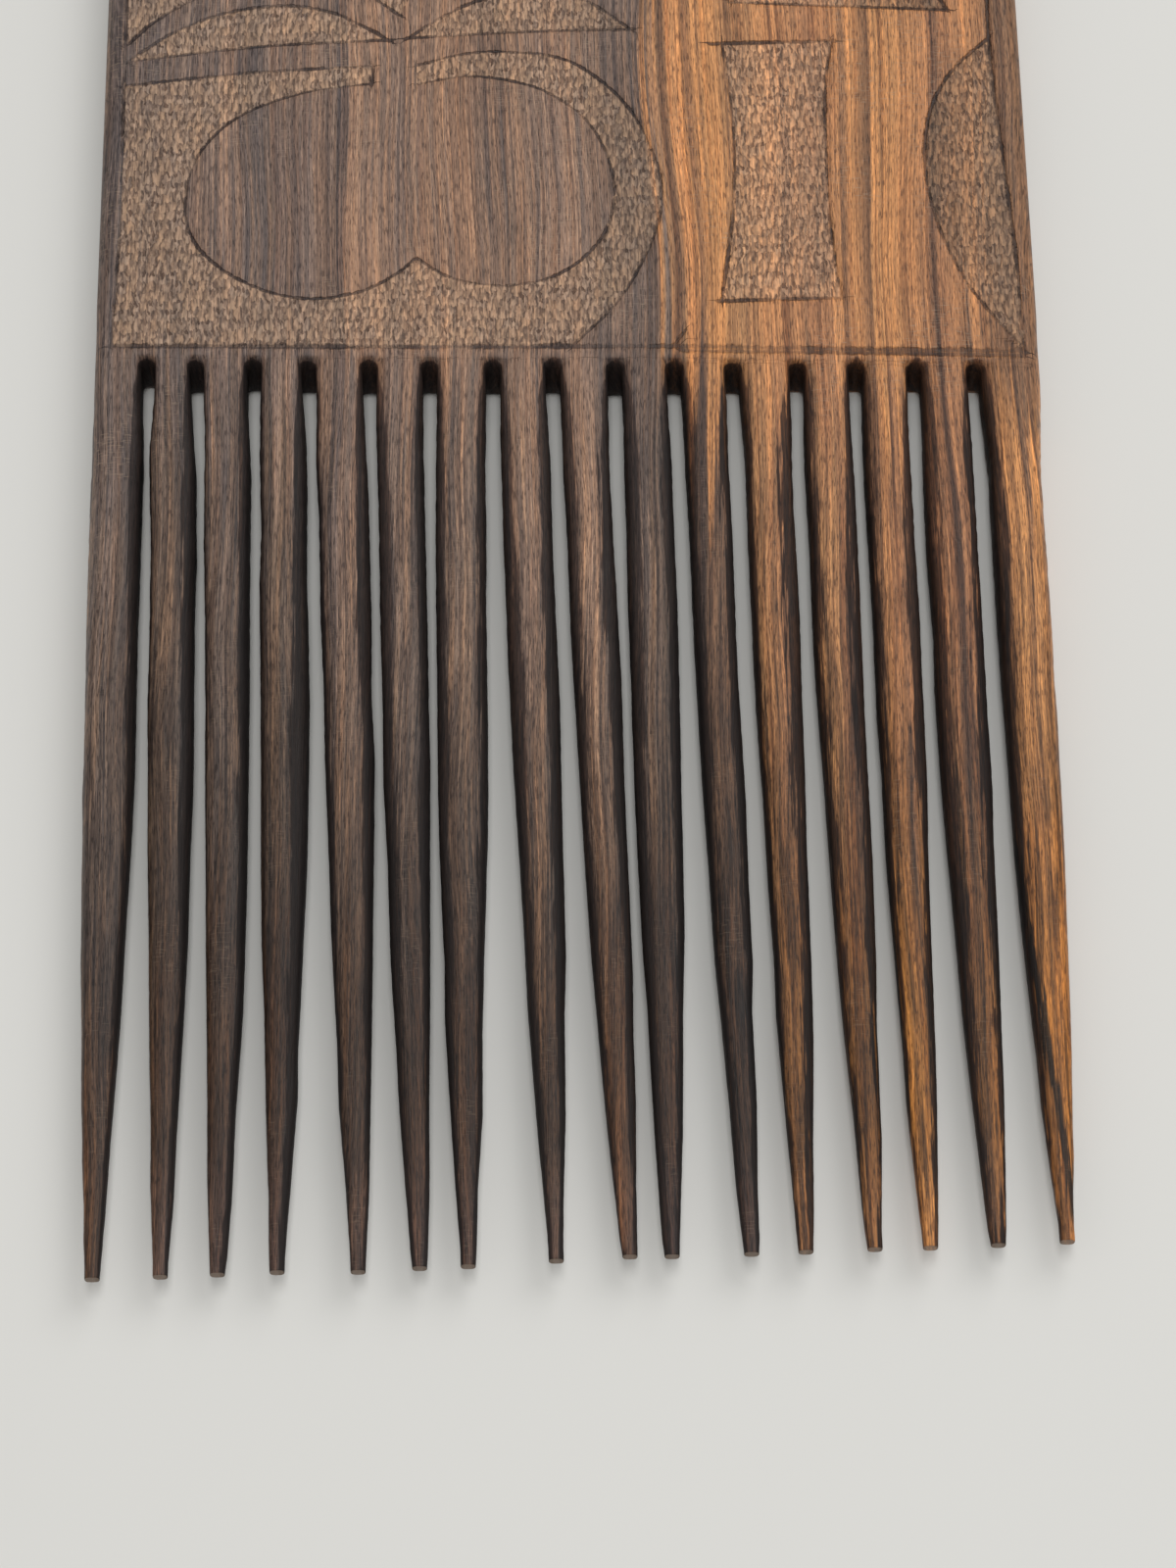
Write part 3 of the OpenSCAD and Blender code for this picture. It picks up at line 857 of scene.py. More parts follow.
wood = {
    # The wood's tones, as they look from the front
    "tones": {
        "ebony": "#443832", "coffee": "#4c3f37", "chestnut": "#674a35", "toffee": "#835c3b",
        "golden": "#a17042", "bistre": "#68594f", "ash": "#72635a", "mocha": "#7f6c60", "umber": "#8b7465",
        "rose": "#967b69", "fawn": "#a3836c", "earth": "#745b4b", "cocoa": "#8c6a51", "russet": "#a87958",
        "tan": "#b4865f", "amber": "#c68d60", "orange": "#d89a64", "walnut": "#5c4638",
    },
    "ground": "#ad927b",      # dry torn fibres of the punched grounds, paler too as painted light on the dents
    "scraped": "#a58f79",
    "endGrainAndLight": "#8a7869",
    "sawn": "#241d1c",
    "gloss": 0.018,           # pale sheen that lies over every tone
    "ior": 1.5,
    "specular": 0.30,
    "noiseRoughness": 0.6,    # how much the finer steps of the spots and streaks show
    # Ends of the ramps across the comb and up it, in millimetres
    "across": (-50, 50),
    "upward": (-95, 10),
    # Places across the comb in millimetres and the tone there: on the panel, on the upper half of the
    # tines and towards their tips
    "bandsAbove": [
        (-50, "ash"), (-37.3, "mocha"), (-36.5, "fawn"), (-35.7, "mocha"), (-32.2, "ash"), (-31.8, "umber"),
        (-30.9, "umber"), (-30.5, "mocha"), (-27.0, "umber"), (-24.4, "ash"), (-24.1, "fawn"),
        (-18.4, "umber"), (-12.7, "fawn"), (-6.2, "mocha"), (-5.0, "fawn"), (-3.7, "umber"), (0.6, "rose"),
        (3.8, "mocha"), (9.0, "mocha"), (10.6, "tan"), (12.6, "amber"), (15.4, "orange"), (18.6, "tan"),
        (22.6, "amber"), (25.8, "russet"), (27.6, "russet"), (28.8, "amber"), (34.6, "orange"),
        (37.8, "amber"), (41.2, "russet"), (44.2, "amber"), (46.2, "cocoa")],
    "bandsBelow": [
        (-50, "ash"), (-42, "bistre"), (-36.2, "ash"), (-33.2, "bistre"), (-30, "bistre"), (-26, "ash"),
        (-23.2, "umber"), (-21, "umber"), (-17.8, "mocha"), (-15.4, "ash"), (-11.6, "mocha"),
        (-10.2, "ash"), (-4.6, "rose"), (-2.2, "ash"), (2.6, "rose"), (4.6, "ash"), (8.4, "mocha"),
        (10.4, "bistre"), (14.8, "earth"), (17.5, "earth"), (20.4, "tan"), (22.4, "russet"),
        (25.6, "cocoa"), (27.2, "tan"), (28.9, "russet"), (33.2, "amber"), (35.2, "russet"),
        (40.2, "russet"), (44.2, "earth"), (46.2, "orange"), (50, "orange")],
    "bandsTips": [
        (-50, "walnut"), (-40, "coffee"), (-32, "ebony"), (-22, "coffee"), (-14, "ebony"), (-2, "coffee"),
        (5, "walnut"), (8.5, "ebony"), (17, "ebony"), (20.0, "coffee"), (22.6, "toffee"),
        (26.5, "chestnut"), (30, "toffee"), (34, "golden"), (36.5, "toffee"), (39, "chestnut"),
        (41.5, "toffee"), (44.5, "toffee"), (47.5, "golden"), (50, "golden")],
    # How much neighbouring bands run into each other at a place, and how far at most
    "mixing": [(6, 0.4), (9, 1.0), (11.5, 1.0), (14, 0.4)],
    "mixingReach": 9.5,
    # Thin dark growth lines: place, half width and the share of light that they leave
    "hairlines": [
        (-24.6, 0.22, 0.70), (9.6, 0.22, 0.66), (14.9, 0.20, 0.76), (17.5, 0.30, 0.56), (34.1, 0.22, 0.72),
        (35.1, 0.20, 0.76), (36.9, 0.22, 0.70), (38.9, 0.25, 0.66), (44.9, 0.30, 0.62), (47.6, 0.25, 0.62)],
    # Wider dark stripes, given in the same way, and the share of their width that is darkest
    "stripes": [
        (11.6, 0.50, 0.46), (13.8, 0.45, 0.50), (30.0, 0.45, 0.52), (32.3, 0.75, 0.44), (40.4, 0.60, 0.50)],
    "stripeFlat": 0.75,
    "darkPowers": (1.0, 0.9, 0.6),    # a dark line keeps more of the blue
    # Where the panel's orange wood runs on into a tine: place, half width, how much further it runs
    "orangeTongue": (14.5, 1.3, 6.0),
    # How far the tongues between the heights' bands reach: from panel to tines, and to the tips
    "tongueReach": (80.0, 50.0),
    # A black streak that runs aslant down the last tine: places across at two heights, half width, how
    # soft and how ragged its sides are, and the height over which it sets in
    "blackStreak": ((43.6, -46.0), (48.0, -90.0), 0.45, 0.12, 1.8, 5.0),
    # Tints of the brown wood on its left and of the bright orange wood on its right
    "besideStreak": ((0.70, 0.66, 0.66), (1.25, 1.16, 1.02)),
    # How dark each punched ground has grown: place across and the share of light left
    "soiled": [(-50, 0.95), (-2, 0.93), (6.5, 0.82), (10.5, 0.82), (12, 0.95), (22.0, 1.0), (25.5, 0.93),
               (29, 0.90), (39.5, 0.54), (42.0, 0.63), (44.0, 0.72), (46.0, 0.80)],
    # The tines grow darker towards their tips: height on the comb and the share of light left
    "darkerTowardsTips": [(-60, 0.42), (-40, 0.58), (-20, 0.84), (-9, 0.93), (6, 1.0)],
    "grainWander": 0.8,
    "fray": 0.05,             # how much the fibres fray the sides of a streak
    # Throws that torn fibres give to the punch marks, along their row and up
    "tearAlong": 1.3,
    "tearUp": 1.9,
    "groundShare": 0.42,      # how much of a punched ground's colour is dry fibres and painted light
    "sawnShare": 0.38,        # how much of a sawn wall's colour is char and soil and painted shade
    "endShare": 0.7,          # how much of a tip's colour is worn end grain and painted light
    "lineHalf": 0.18,         # half width of an incised line
    # What the distance from its middle gains: everywhere, from its ragged sides, and from its depth
    "lineStray": (-0.15, 0.46, -0.30),
    "cutWander": 1.3,         # how far the dark edges' borders drift along the comb
    "rightEdge": 1.22,        # width of the dark edge on a tine's right
    "ridgeStart": 0.1,        # the painted highlight along a tine's middle starts this far past the dark edge
    # Depth that each thing gives to the surface, in millimetres
    "relief": {"fibres": 0.030, "pores": -0.050, "holes": -0.10, "slits": -0.06, "lines": -0.12},
    "rougher": {"ground": 0.12, "sawn": 0.20},
}

# Spots and streaks of the wood: size in millimetres across, along and through the grain, and detail
features = {
    "grainBend": ((22, 60, 14), 1.5),
    "bandMixing": ((0.42, 60, 3), 1.0),
    "tongues": ((0.9, 70, 3), 1.0),
    "fibres": ((0.13, 5, 0.8), 2.0),
    "broadStreaks": ((0.70, 80, 3), 1.5),
    "fineStreaks": ((0.34, 50, 2), 1.5),
    "warmth": ((0.60, 25, 2), 1.5),
    "darkLines": ((0.24, 60, 1.5), 1.0),
    "darkStripes": ((1.0, 110, 4), 1.0),
    "strands": ((0.24, 11, 1.2), 1.5),
    "veins": ((0.75, 26, 1.6), 1.5),
    "streakSides": ((0.30, 7, 1), 2.5),
    "pores": ((0.13, 1.4, 0.5), 1.0),
    "clouds": ((6, 14, 5), 1.5),
    "scrapes": ((1.1, 0.16, 0.5), 1.0),
    "scrapedSpots": ((8, 11, 5), 1.5),
    "tearAlong": ((0.80, 1.3, 0.5), 2.0),
    "tearUp": ((0.60, 1.8, 0.5), 2.0),
    "tongueFibres": ((0.25, 1.4, 0.4), 1.0),
    "lineDepth": ((5, 5, 5), 1.5),
    "lineSides": ((0.7, 0.7, 1.0), 2.5),
    "cutSides": ((0.36, 9, 0.5), 2.5),
    "cutDrift": ((5, 35, 5), 1.5),
}

# What each thing does to the colour: the amount at which it starts, the amount at which it is full,
# and the tint at each
tints = {
    "broadStreaks": (0.48, 0.52, (0.91, 0.91, 0.93), (1.12, 1.08, 1.03)),
    "fineStreaks": (0.47, 0.53, (0.80, 0.80, 0.82), (1.20, 1.15, 1.09)),
    "warmth": (0.42, 0.58, (1.06, 1.00, 0.94), (0.96, 1.00, 1.05)),
    "darkLines": (0.55, 0.58, asIs, (0.66, 0.64, 0.66)),
    "darkStripes": (0.0, 1.0, asIs, (0.60, 0.57, 0.58)),
    "strands": (-0.07, 0.07, (0.74, 0.73, 0.75), (1.26, 1.24, 1.20)),
    "blackStreak": (0.0, 1.0, asIs, (0.15, 0.17, 0.22)),
    "veins": (0.0, 1.0, asIs, (0.40, 0.41, 0.45)),
    "fibres": (0.38, 0.62, (0.80, 0.80, 0.80), (1.24, 1.23, 1.22)),
    "pores": (0.56, 0.63, asIs, (0.46, 0.44, 0.45)),
    "flecks": (0.41, 0.33, asIs, (1.40, 1.38, 1.34)),
    "clouds": (0.35, 0.65, (0.90, 0.91, 0.93), (1.10, 1.09, 1.07)),
    # By place on the comb, in millimetres
    "greyLeft": (-12.0, -36.0, asIs, (1.0, 1.03, 1.08)),
    "greyPanel": (-3.0, 5.0, asIs, (0.98, 1.0, 1.035)),
    "wornTips": (-82.0, -92.0, asIs, (1.52, 1.56, 1.80)),
    # Punched grounds and incised lines
    "marks": (0.0, 1.0, (1.10, 1.05, 0.99), (0.95, 0.97, 1.02)),
    "tongueFibres": (0.42, 0.58, (1.26, 1.25, 1.22), (0.74, 0.73, 0.74)),
    # A painted highlight on the tongues' middles, and dark slits between them
    "slits": (0.55, 0.95, (1.20, 1.19, 1.16), (0.50, 0.48, 0.49)),
    # A painted highlight at a tongue's lower end and painted shade at its top
    "tongueEndsPaintedLight": (0.25, 0.95, (1.08, 1.08, 1.07), (0.90, 0.89, 0.90)),
    "holes": (0.0, 1.0, asIs, (0.42, 0.37, 0.35)),
    "lines": (0.0, 1.0, asIs, (0.22, 0.21, 0.24)),
    # Beside the cuts and in them, by the distance past the dark edge in millimetres
    # Painted shade beside the tines' dark edges, and a darker rim round the slot ends
    "shadeBesideCut": (0.8, 0.0, asIs, (0.66, 0.66, 0.69)),
    # A painted highlight along the tines' middles
    "ridgeHighlight": (0.0, 1.0, asIs, (1.22, 1.20, 1.17)),
    # Darker deeper into a cut: char and soil, and painted shade
    "charAndShadeInCut": (0.1, -0.5, (0.50, 0.46, 0.46), (0.22, 0.21, 0.22)),
    "leftCut": (-0.2, 0.2, asIs, (1.55, 1.50, 1.48)),
}

# How an amount changes with a place or with another amount: from one to another, with the amount
# at each
spans = {
    # Across the comb, in millimetres
    "paleFurther": (-43.5, -46.0, 0.0, 15.0),     # the left side has stayed paler this much further down
    "calmOrange": (11.0, 14.0, 0.0, 0.55),
    "stripedOrange": (11.0, 14.0, 0.2, 1.0),
    "onLast": (41.8, 42.4, 0.0, 1.0),
    "wornLast": (41.5, 43.5, 0.30, 0.85),
    "cutRagged": (6.0, 22.0, 1.6, 3.2),
    "leftEdge": (-42.0, -15.0, 0.70, 1.20),
    "leftEdgeMore": (8.0, 48.0, 0.10, 0.50),
    "ridgesRight": (42.8, 44.2, 1.0, 0.0),
    "ridgesLeft": (-43.4, -44.4, 1.0, 0.4),
    "streakSide": (-0.3, 0.3, 0.0, 1.0),
    # Up and down the comb
    "toTines": (44.0, 34.0, 0.0, 1.0),
    "toTips": (-18.0, -46.0, 0.0, 1.0),
    "strandsFrom": (0.0, -25.0, 0.0, 1.0),
    "strandsWorn": (-45.0, -72.0, 1.0, 0.5),
    "veinsFrom": (-14.0, -50.0, 0.0, 1.0),
    "scrapesOn": (-12.0, 8.0, 0.25, 1.0),
    # Down a tine from the panel
    "drilledClean": (0.0, 10.0, 0.25, 1.0),
    "edgesWorn": (55.0, 95.0, 0.0, 1.0),
    "shadeWidth": (15.0, 55.0, 0.8, 0.40),
    "ridgesFrom": (8.0, 22.0, 0.0, 1.0),
    # Where random spots and streaks start and where they are full
    "darkStripes": (0.61, 0.64, 0.0, 1.0),
    "veins": (0.54, 0.60, 0.0, 1.0),
    "scrapes": (0.58, 0.68, 0.0, 0.34),
    "scrapedSpots": (0.50, 0.60, 0.0, 1.0),
    "roughness": (0.3, 0.7, 0.42, 0.58),
    "holePressed": (0.35, 0.9, 0.0, 1.0),
    "linePressed": (0.40, 0.58, 0.45, 1.0),
    # Inside a punch mark, and at the borders of grounds and cuts
    "hole": (0.8, 1.3, 1.0, 0.0),
    "slit": (0.4, 0.95, 0.0, 1.0),
    "inGround": (0.35, 0.65, 0.0, 1.0),
    "sawn": (-0.06, 0.06, 1.0, 0.0),
}


def seenTone(code):
    # Base colour of a tone as it is seen: less the sheen over it
    return [max(part - wood["gloss"], 0.0) for part in tone(code)[:3]] + [1.0]


def greys(stops):
    # Shares of light at their places as the greys of a ramp
    return [(at, (left, left, left, 1)) for at, left in stops]


def ramp(tree, value, span, stops):
    # Colours over a value in a span, with the stops given in the value's own unit
    low, high = span
    share = addNode(tree, "MapRange", [value, low, high, 0.0, 1.0])
    made = addNode(tree, "ValToRGB", [share])
    elements = made.color_ramp.elements
    elements.remove(elements[1])
    for k, (at, colour) in enumerate(stops):
        where = (at - low) / (high - low)
        element = elements.new(where) if k else elements[0]
        element.position = where
        element.color = colour
    return made.outputs["Color"]


def grainNoise(tree, place, name):
    # Noise whose spots have a feature's size in millimetres across, along and through the wood
    size, detail = features[name]
    scaled = addNode(tree, "VectorMath", [place, tuple(1 / s for s in size)], operation="MULTIPLY")
    noise = addNode(tree, "TexNoise", {"Vector": scaled.outputs[0], "Scale": 1.0, "Detail": detail,
                                       "Roughness": wood["noiseRoughness"]})
    return noise.outputs["Fac"]


def product(tree, *pairs, amount=None):
    # Product of some named spans, each given as the value that it follows and its name, and of an
    # amount if there is one
    for value, name in pairs:
        share = addNode(tree, "MapRange", [value, *spans[name]])
        amount = share if amount is None else addNode(tree, "Math", [amount, share], operation="MULTIPLY")
    return amount


def tinted(tree, colour, amount, name, start=None):
    # Colour times a named tint, which goes from its first colour to its last while the amount goes
    # from low to high. A start given here, such as a node, takes the place of the low.
    low, high, first, last = tints[name]
    share = addNode(tree, "MapRange", [amount, low if start is None else start, high, 0.0, 1.0])
    tint = addNode(tree, "Mix", [share, (*first, 1.0), (*last, 1.0)], data_type="RGBA")
    return addNode(tree, "Mix", [1.0, colour, tint], data_type="RGBA", blend_type="MULTIPLY")


def bandColour(tree, grainX, y, grain):
    # The bands of the three heights, with tongues where one height's run out between the next's, and
    # the dark growth lines and stripes over them. Neighbouring bands run into each other in thin
    # lines, most of all where the orange wood begins.
    mixing = ramp(tree, grainX, wood["across"], greys(wood["mixing"]))
    bandX = addNode(tree, "Math", [grainNoise(tree, grain, "bandMixing"), 0.5], operation="SUBTRACT")
    bandX = addNode(tree, "Math", [bandX, mixing], operation="MULTIPLY")
    bandX = addNode(tree, "Math", [bandX, wood["mixingReach"], grainX], operation="MULTIPLY_ADD")
    above, below, tips = (
        ramp(tree, bandX, wood["across"], [(at, seenTone(wood["tones"][name])) for at, name in wood[key]])
        for key in ("bandsAbove", "bandsBelow", "bandsTips"))
    tongue = grainNoise(tree, grain, "tongues")
    reachTines, reachTips = wood["tongueReach"]
    middle, half, more = wood["orangeTongue"]
    further = ramp(tree, grainX, wood["across"], greys([(middle - half, 0), (middle, 1), (middle + half, 0)]))
    tongueY = addNode(tree, "Math", [tongue, reachTines, y], operation="MULTIPLY_ADD")
    tongueY = addNode(tree, "Math", [further, more, tongueY], operation="MULTIPLY_ADD")
    passed = addNode(tree, "MapRange", [tongueY, *spans["toTines"]])
    darkerTowardsTips = ramp(tree, y, wood["upward"], greys(wood["darkerTowardsTips"]))
    below = addNode(tree, "Mix", [1.0, below, darkerTowardsTips], data_type="RGBA", blend_type="MULTIPLY")
    colour = addNode(tree, "Mix", [passed, above, below], data_type="RGBA")
    tongueY = addNode(tree, "Math", [tongue, reachTips, y], operation="MULTIPLY_ADD")
    passed = addNode(tree, "MapRange", [tongueY, *spans["toTips"]])
    colour = addNode(tree, "Mix", [passed, colour, tips], data_type="RGBA")
    flat = wood["stripeFlat"]
    for key, darkest in (("hairlines", (0.0,)), ("stripes", (-flat, flat))):
        lines = []
        for at, half, left in wood[key]:
            dark = (*(left ** power for power in wood["darkPowers"]), 1)
            lines += [(at - half, (1, 1, 1, 1)), *((at + half * share, dark) for share in darkest),
                      (at + half, (1, 1, 1, 1))]
        colour = addNode(tree, "Mix", [1.0, colour, ramp(tree, grainX, wood["across"], lines)],
                         data_type="RGBA", blend_type="MULTIPLY")
    return colour


def lastTineColour(tree, colour, x, y, grain):
    # One long black streak aslant down the last tine, with brown wood on its left and bright orange
    # on its right
    (highX, highY), (lowX, lowY), half, soft, ragged, setIn = wood["blackStreak"]
    lean = (highX - lowX) / (highY - lowY)
    off = addNode(tree, "Math", [y, -lean, x], operation="MULTIPLY_ADD")
    side = addNode(tree, "Math", [off, lean * highY - highX], operation="ADD")
    off = addNode(tree, "Math", [side], operation="ABSOLUTE")
    off = addNode(tree, "Math", [grainNoise(tree, grain, "streakSides"), ragged, off],
                  operation="MULTIPLY_ADD")
    off = addNode(tree, "Math", [off, ragged / 2], operation="SUBTRACT")
    slanted = addNode(tree, "MapRange", [off, half, half - soft, 0.0, 1.0])
    reaches = addNode(tree, "MapRange", [y, highY, highY - setIn, 0.0, 1.0])
    slanted = addNode(tree, "Math", [slanted, reaches], operation="MULTIPLY")
    colour = tinted(tree, colour, slanted, "blackStreak")
    beside = addNode(tree, "MapRange", [side, *spans["streakSide"]])
    left, right = wood["besideStreak"]
    brighter = addNode(tree, "Mix", [beside, (*left, 1.0), (*right, 1.0)], data_type="RGBA")
    onLast = product(tree, (x, "onLast"), amount=reaches)
    return addNode(tree, "Mix", [onLast, colour, brighter], data_type="RGBA", blend_type="MULTIPLY")


def grainColour(tree, inMm, grain):
    # Bands, growth streaks, fibres and pores, each a tint over the last, and the relief and
    # roughness that the fibres give
    x = addNode(tree, "SeparateXYZ", [inMm]).outputs[0]
    grainX, y = addNode(tree, "SeparateXYZ", [grain]).outputs[:2]
    # The comb's left side has stayed paler further down
    further = addNode(tree, "MapRange", [grainX, *spans["paleFurther"]])
    y = addNode(tree, "Math", [further, y], operation="ADD")
    colour = plain = bandColour(tree, grainX, y, grain)
    # Growth streaks with sharp sides, greyish where dark and warm where light, calmer in the orange wood
    fibre = grainNoise(tree, grain, "fibres")
    torn = addNode(tree, "Math", [fibre, wood["fray"], -wood["fray"] / 2], operation="MULTIPLY_ADD")

    def streaks(name):
        # Streak noise whose sides are frayed by the fibres
        return addNode(tree, "Math", [grainNoise(tree, grain, name), torn], operation="ADD")

    for name in ("broadStreaks", "fineStreaks"):
        colour = tinted(tree, colour, streaks(name), name)
    colour = tinted(tree, colour, grainNoise(tree, grain, "warmth"), "warmth")
    calm = addNode(tree, "MapRange", [grainX, *spans["calmOrange"]])
    colour = addNode(tree, "Mix", [calm, colour, plain], data_type="RGBA")
    # Thin dark lines everywhere, and wider dark stripes in the orange wood
    colour = tinted(tree, colour, streaks("darkLines"), "darkLines")
    striped = product(tree, (streaks("darkStripes"), "darkStripes"), (grainX, "stripedOrange"))
    colour = tinted(tree, colour, striped, "darkStripes")
    # Stronger fibres all down the tines, rubbed smoother near the tips
    strands = addNode(tree, "Math", [grainNoise(tree, grain, "strands"), 0.5], operation="SUBTRACT")
    strands = product(tree, (y, "strandsFrom"), (y, "strandsWorn"), amount=strands)
    colour = tinted(tree, colour, strands, "strands")
    colour = lastTineColour(tree, colour, x, y, grain)
    # Black veins in the lower half of the right tines
    veined = product(tree, (streaks("veins"), "veins"), (y, "veinsFrom"), (grainX, "stripedOrange"))
    colour = tinted(tree, colour, veined, "veins")
    colour = tinted(tree, colour, fibre, "fibres")
    # Short dark pores and pale flecks
    dash = grainNoise(tree, grain, "pores")
    colour = tinted(tree, colour, dash, "pores")
    colour = tinted(tree, colour, dash, "flecks")
    # Slow clouds, and faint pale marks left across the grain by the scraper
    colour = tinted(tree, colour, grainNoise(tree, inMm, "clouds"), "clouds")
    scrape = product(tree, (grainNoise(tree, inMm, "scrapes"), "scrapes"),
                     (grainNoise(tree, inMm, "scrapedSpots"), "scrapedSpots"), (y, "scrapesOn"))
    # Greyer on the comb's left and a little on the panel, and paler again where the tips have worn
    colour = tinted(tree, colour, grainX, "greyLeft")
    colour = tinted(tree, colour, y, "greyPanel")
    colour = tinted(tree, colour, y, "wornTips")
    colour = addNode(tree, "Mix", [scrape, colour, tone(wood["scraped"])], data_type="RGBA")
    height = addNode(tree, "Math", [fibre, wood["relief"]["fibres"]], operation="MULTIPLY")
    height = addNode(tree, "Math", [dash, wood["relief"]["pores"], height], operation="MULTIPLY_ADD")
    rough = addNode(tree, "MapRange", [fibre, *spans["roughness"]])
    return colour, height, rough


def groundColour(tree, inMm, colour, height, rough):
    # Punched grounds: rows of short upright tongues of torn fibre, pale in the middle, with a dark
    # slit between two and here and there a pricked hole; the grain still shows through
    uv = addNode(tree, "UVMap", uv_map="punchRows")
    # Each place in the rows is thrown off by how the fibres tore
    throws = [addNode(tree, "Math", [grainNoise(tree, inMm, key), wood[key], -wood[key] / 2],
                      operation="MULTIPLY_ADD") for key in ("tearAlong", "tearUp")]
    uv = addNode(tree, "VectorMath", [uv, addNode(tree, "CombineXYZ", throws)],
                 operation="ADD")
    u, v = addNode(tree, "SeparateXYZ", [uv]).outputs[:2]
    row = addNode(tree, "Math", [v], operation="FLOOR")
    shifted = addNode(tree, "Math", [row, punch["rowShift"], u], operation="MULTIPLY_ADD")
    cell = addNode(tree, "CombineXYZ", [shifted, v])
    mark = addNode(tree, "VectorMath", [cell], operation="FLOOR")
    chance = addNode(tree, "TexWhiteNoise", [mark], noise_dimensions="3D")
    inMark = addNode(tree, "VectorMath", [cell], operation="FRACTION")
    # Share of the way from the middle of a tongue to the slit beside it
    aside = addNode(tree, "VectorMath", [inMark, (2.0, 1.0, 0.0), (-1.0, 0.0, 0.0)],
                    operation="MULTIPLY_ADD")
    aside = addNode(tree, "VectorMath", [aside], operation="ABSOLUTE")
    aside, upMark = addNode(tree, "SeparateXYZ", [aside]).outputs[:2]
    off = addNode(tree, "VectorMath", [inMark, (*punch["hole"], 0.0)], operation="SUBTRACT")
    off = addNode(tree, "VectorMath", [off, (*(1 / size for size in punch["holeSize"]), 0.0)],
                  operation="MULTIPLY")
    far = addNode(tree, "VectorMath", [off], operation="LENGTH").outputs["Value"]
    hole = addNode(tree, "MapRange", [far, *spans["hole"]], interpolation_type="SMOOTHSTEP")
    hole = product(tree, (chance.outputs["Value"], "holePressed"), amount=hole)
    punched = addNode(tree, "Attribute", attribute_name="punched")
    inGround = addNode(tree, "MapRange", [punched.outputs["Fac"], *spans["inGround"]])
    x = addNode(tree, "SeparateXYZ", [inMm]).outputs[0]
    soiled = ramp(tree, x, wood["across"], greys(wood["soiled"]))
    # Pale dry fibres with painted light on the punched dents
    ground = addNode(tree, "Mix", [wood["groundShare"], colour, tone(wood["ground"])],
                     data_type="RGBA")
    ground = addNode(tree, "Mix", [1.0, ground, soiled], data_type="RGBA", blend_type="MULTIPLY")
    ground = tinted(tree, ground, chance.outputs["Value"], "marks")
    ground = tinted(tree, ground, grainNoise(tree, inMm, "tongueFibres"), "tongueFibres")
    # A painted highlight along each tongue's middle, and the dark slits beside it
    ground = tinted(tree, ground, aside, "slits")
    # A painted highlight at the lower end of each mark, painted shade at its top
    ground = tinted(tree, ground, upMark, "tongueEndsPaintedLight")
    ground = tinted(tree, ground, hole, "holes")
    colour = addNode(tree, "Mix", [inGround, colour, ground], data_type="RGBA")
    slit = addNode(tree, "MapRange", [aside, *spans["slit"]])
    for cut, key in ((hole, "holes"), (slit, "slits")):
        cut = addNode(tree, "Math", [cut, inGround], operation="MULTIPLY")
        height = addNode(tree, "Math", [cut, wood["relief"][key], height], operation="MULTIPLY_ADD")
    rough = addNode(tree, "Math", [inGround, wood["rougher"]["ground"], rough],
                    operation="MULTIPLY_ADD")
    return colour, height, rough


def lineColour(tree, inMm, colour, height):
    # Incised lines: a dark groove along every line, uneven in width and depth. The distances to the
    # nearest line of each of the three families go from 0 to the groove's edge.
    incised = addNode(tree, "Attribute", attribute_name="incised")
    near = addNode(tree, "Attribute", attribute_name="nearLine")
    away = addNode(tree, "VectorMath", [incised.outputs["Vector"]], operation="ABSOLUTE")
    slow = grainNoise(tree, inMm, "lineDepth")
    everywhere, sides, deep = wood["lineStray"]
    wave = addNode(tree, "Math", [grainNoise(tree, inMm, "lineSides"), sides, everywhere],
                   operation="MULTIPLY_ADD")
    wave = addNode(tree, "Math", [slow, deep, wave], operation="MULTIPLY_ADD")
    away = addNode(tree, "VectorMath", [away, wave], operation="ADD")
    line = addNode(tree, "MapRange", [away, (0.0,) * 3, (wood["lineHalf"],) * 3, (1.0,) * 3, (0.0,) * 3],
                   data_type="FLOAT_VECTOR", interpolation_type="SMOOTHSTEP")
    line = addNode(tree, "VectorMath", [line, near.outputs["Vector"]], operation="MULTIPLY")
    first, second, third = addNode(tree, "SeparateXYZ", [line]).outputs
    line = addNode(tree, "Math", [first, second], operation="MAXIMUM")
    line = addNode(tree, "Math", [line, third], operation="MAXIMUM")
    line = product(tree, (slow, "linePressed"), amount=line)
    colour = tinted(tree, colour, line, "lines")
    height = addNode(tree, "Math", [line, wood["relief"]["lines"], height], operation="MULTIPLY_ADD")
    return colour, height


